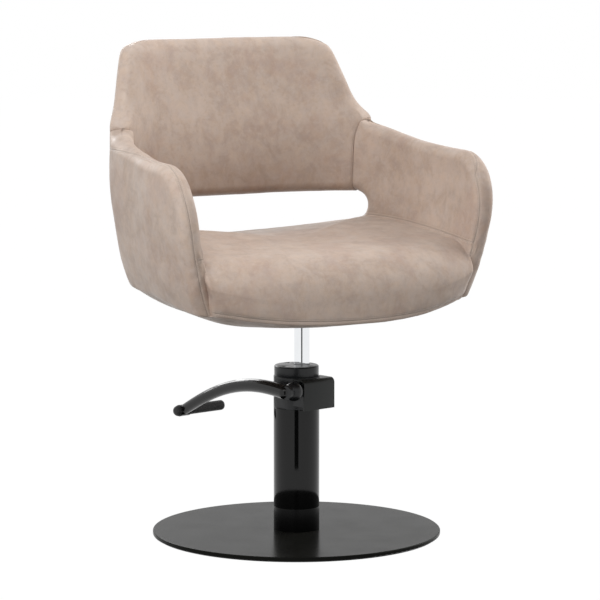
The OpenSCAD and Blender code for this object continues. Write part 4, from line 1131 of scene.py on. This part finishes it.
def makeUnderside(look):
    bm, kept, layers = padMesh(("order",), ("ring",))
    count, rings = look["around"], look["rings"]
    bmesh.ops.create_circle(bm, cap_ends=False, segments=count, radius=1.0)
    for v in bm.verts:
        v[kept["order"]] = round((atan2(v.co.y, v.co.x) % (2 * pi)) / (2 * pi) * count) % count

    def edgePoint(s):
        if s < 1:  # the front, from the left to the right
            q = look["frontEnd"] - 2 * look["frontEnd"] * s
            return frontPoint(q, frontLow(q), look["frontIn"])
        t = -look["armEnd"] + (s - 1) / 3 * 2 * look["armEnd"]
        return shellPoint(t, lowEdge(t), look["edgeIn"])

    # the outline as even points by angle
    points = [edgePoint(4.0 * k / look["fine"]) for k in range(look["fine"])]
    byAngle = sorted((atan2(p.y, p.x) % (2 * pi), p) for p in points)

    def outline(angle):
        best = min(range(len(byAngle)), key=lambda i: abs(byAngle[i][0] - angle))
        near = byAngle[best]
        other = byAngle[(best + 1) % len(byAngle)] if near[0] < angle else byAngle[best - 1]
        gap = (other[0] - near[0] + pi) % (2 * pi) - pi
        s = clamp((angle - near[0]) / gap) if abs(gap) > 1e-9 else 0
        return near[1].lerp(other[1], s)

    angles = [2 * pi * k / count for k in range(count)]
    edges = [outline(a) for a in angles]
    places = [(f, 0) for f in rings] + [(f, look["thick"]) for f in reversed(rings[1:-1])]
    places.append((1.0, look["edgeThick"]))
    ring = bm.edges[:]
    for level in range(1, len(places)):
        verts, ring = extended(bm, ring)
        for v in verts:
            v[kept["ring"]] = level
        ring = [e for e in ring if all(v[kept["ring"]] == level for v in e.verts)]
    for v in bm.verts:
        f, up = places[round(v[kept["ring"]])]
        edge, a = edges[v[kept["order"]]], angles[v[kept["order"]]]
        inner = Vector((cos(a), sin(a), 0)) * look["hole"]
        p = inner.lerp(Vector((edge.x, edge.y, 0)), f)
        depth = -look["belly"] + (edge.z + look["lift"] + look["belly"]) * f ** look["curve"] + up
        for layer in layers.values():
            v[layer] = farAway
        v[layers["seamA"]] = ((1 - f) * look["seamReach"] - look["seamIn"]) * 0.001
        v[layers["runA"]] = a * look["runReach"]
        v.co = toScene((p.x, p.y, depth))
    bmesh.ops.bridge_loops(bm, edges=[e for e in bm.edges if e.is_boundary])
    return finishMesh("undersidePanel", bm)


upholstered(makeBack(backPad), "back_pad")
upholstered(makeArm(armPad, "armPadLeft", "left"), "arm_pad_left")
upholstered(makeArm(armPad, "armPadRight", "right"), "arm_pad_right")
upholstered(makeSeat(seatPad), "seat_pad")
upholstered(makeApron(apronPad), "rear_apron")
# the underside panel wears the copy darkened as painted shade
upholstered(makeUnderside(underside), "bottom_cover", upholsteryShadedUnder)
print("shell upholstered")


# metal, plastic and rubber finishes
def plainFinish(name, colour, rough, metal=0.0, shine=0.5, specks=0.05, grain=0.0002, scale=420):
    f = Finish(name)
    tone = f.noise(14, detail=4, rough=0.6)
    fine = f.noise(scale, detail=2, rough=0.6)
    dark, lit = (toned(linear(colour), share) for share in (1 - 3 * specks, 1 + 2 * specks))
    base = f.ramp(tone, (0.35, dark), (0.65, lit))
    f.put(Metallic=metal, Specular_IOR_Level=shine)
    return f.finish(base, f.spread(tone, 0.3, 0.7, rough * 0.85, rough * 1.15), f.bump(fine, grain, 0.5))


def plywoodFinish():
    f = Finish("plywood")
    grain = f.noise(18, detail=5, rough=0.6, stretch=(1, 14, 1), distortion=0.4)
    inputs = {"Vector": f.coords, "Scale": 62, "Distortion": 0.6}
    plies = f.node("TexWave", inputs, wave_type="BANDS", bands_direction="Z").outputs["Fac"]
    base = f.ramp(grain, (0.3, linear((168, 132, 88))), (0.7, linear((208, 176, 130))))
    base = f.mix(f.math("MULTIPLY", plies, 0.25), base, linear((128, 92, 58)))
    return f.finish(base, f.spread(grain, 0.3, 0.7, 0.6, 0.75), f.bump(grain, 0.0003, 0.5))


# the colour and the roughness, then what is unlike the usual
plain = {
    "plateGrey": ((20, 20, 18), 0.22, {"scale": 900, "grain": 0.00004, "specks": 0.03, "shine": 0.03}),
    "columnBlack": ((9, 9, 9), 0.09, {"scale": 700, "grain": 0.00002, "specks": 0.03, "shine": 0.3}),
    "collarBlack": ((6, 6, 6), 0.3, {"scale": 600, "specks": 0.03, "shine": 0.12}),
    "castBlack": ((24, 25, 27), 0.3, {"shine": 0.35, "scale": 340, "grain": 0.0003, "specks": 0.06}),
    "coverBlack": ((26, 28, 27), 0.4, {"shine": 0.3, "scale": 520, "grain": 0.00025, "specks": 0.03}),
    "leverBlack": ((8, 8, 8), 0.11, {"shine": 0.4, "scale": 600, "grain": 0.00006, "specks": 0.04}),
    "rubber": ((30, 30, 31), 0.62, {"scale": 700, "grain": 0.0003}),
    "chrome": ((236, 238, 240), 0.04, {"metal": 1.0, "scale": 30, "grain": 0.00001, "specks": 0.01}),
    "steel": ((168, 170, 172), 0.3, {"metal": 1.0, "scale": 500, "grain": 0.00008}),
    "darkSteel": ((52, 53, 55), 0.4, {"metal": 0.6, "specks": 0.08}),
    "zinc": ((186, 190, 196), 0.32, {"metal": 1.0, "scale": 300, "specks": 0.06}),
    "bronze": ((176, 141, 87), 0.3, {"metal": 1.0, "scale": 300, "specks": 0.06}),
}
finishes = {name: plainFinish(name, colour, rough, **rest) for name, (colour, rough, rest) in plain.items()}
finishes["plywood"] = plywoodFinish()

nodeFinish = {
    "plateGrey": ["base_plate"],
    "columnBlack": ["column_tube"],
    "collarBlack": ["foot_collar"],
    "castBlack": ["pump_head", "head_cap", "lever_hub", "ram_socket", "mount_plate"],
    "coverBlack": ["side_cover"],
    "leverBlack": ["lever_arm", "pedal_bar"],
    "rubber": ["floor_mat", "pedal_sleeve", "pedal_knob", "rod_wiper", "piston_seals"],
    "chrome": ["ram_rod"],
    "steel": ["pressure_cylinder", "cylinder_plug", "pump_plunger", "rocker_shaft", "rocker_arm",
              "piston_head", "shell_frame", "return_spring"],
    "darkSteel": ["cap_screws", "cover_screws", "hub_screw", "foot_screws"],
    "zinc": ["mount_bolts", "tee_nuts"],
    "bronze": ["rod_bush", "thrust_washer", "plunger_sleeve"],
    "plywood": ["seat_board"],
}
for finish, nodes in nodeFinish.items():
    for node in nodes:
        data = frame["nodes"][node].data
        data.materials.clear()
        data.materials.append(finishes[finish])

# the bevels' widths, in metres
softened = {
    "column_tube": 0.0004, "foot_collar": 0.0008, "pump_head": 0.0012, "head_cap": 0.0012,
    "side_cover": 0.0011, "lever_hub": 0.0012, "ram_socket": 0.0008, "mount_plate": 0.0006,
}
edging = {"merge": 0.00001, "flat": 1.2, "bevelFrom": 28, "sharpFrom": 30, "segments": 3}  # angles in degrees


def shadeEdges(mesh):
    mesh.shade_smooth()
    mesh.set_sharp_from_angle(angle=radians(edging["sharpFrom"]))


def softenedCopy(node, width, rides=True):
    # the node's own shape with its sharp edges rounded
    source = frame["nodes"][node]
    bm = bmesh.new()
    bm.from_mesh(source.data)
    flat, steep = radians(edging["flat"]), radians(edging["bevelFrom"])
    bmesh.ops.remove_doubles(bm, verts=bm.verts[:], dist=edging["merge"])
    bmesh.ops.dissolve_limit(bm, angle_limit=flat, verts=bm.verts[:], edges=bm.edges[:])
    sharp = [e for e in bm.edges if len(e.link_faces) == 2 and e.calc_face_angle() > steep]
    if width:
        bmesh.ops.bevel(bm, geom=sharp, offset=width, offset_type="OFFSET", segments=edging["segments"],
                        profile=0.5, affect="EDGES", clamp_overlap=True, material=-1)
    bmesh.ops.triangulate(bm, faces=[f for f in bm.faces if len(f.verts) > 4])
    piece = addMesh(node + "Soft", bm)
    shadeEdges(piece.data)
    piece.data.materials.append(source.data.materials[0])
    if rides:
        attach(piece, source["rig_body"])
    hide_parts(node)
    return piece


soft = {node: softenedCopy(node, width) for node, width in softened.items()}

# the ball in which the lever turns the corner, centred on the shaft so that it clears the head
elbow = {"place": (-0.045, -0.0635), "ball": 0.0185, "neck": 0.0125, "neckLong": 0.008, "neckBack": 0.0175}


def addElbow(piece, look):
    bm = bmesh.new()
    bm.from_mesh(piece.data)
    low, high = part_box("rocker_shaft")
    along = Vector((high.x - low.x, high.y - low.y, 0)).normalized()
    centre = Vector((*look["place"], (low.z + high.z) / 2))
    ball = Matrix.Translation(centre)
    turned = along.to_track_quat("Z", "Y").to_matrix().to_4x4()
    neck = Matrix.Translation(centre - along * look["neckBack"]) @ turned
    bmesh.ops.create_uvsphere(bm, u_segments=48, v_segments=24, radius=look["ball"], matrix=ball)
    bmesh.ops.create_cone(bm, cap_ends=True, segments=48, radius1=look["neck"], radius2=look["neck"],
                          depth=look["neckLong"], matrix=neck)
    bm.to_mesh(piece.data)
    bm.free()
    shadeEdges(piece.data)


addElbow(soft["lever_hub"], elbow)

# the spring's top turn goes down with the plunger, its foot stays in the head
spring = softenedCopy("return_spring", 0, rides=False)
springEnd = 0.001  # metres of it that stay stiff at either end
springLow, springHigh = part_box("return_spring")
middle = (springLow + springHigh) / 2
foot, top = (middle.x, middle.y, springLow.z + springEnd), (middle.x, middle.y, springHigh.z - springEnd)
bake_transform(spring, "base", "plunger", foot, top)
for node in ("lever_arm", "ram_rod", "pedal_sleeve", "pedal_knob", "pedal_bar", "base_plate"):
    frame["nodes"][node].data.shade_smooth()
print("hard parts finished")
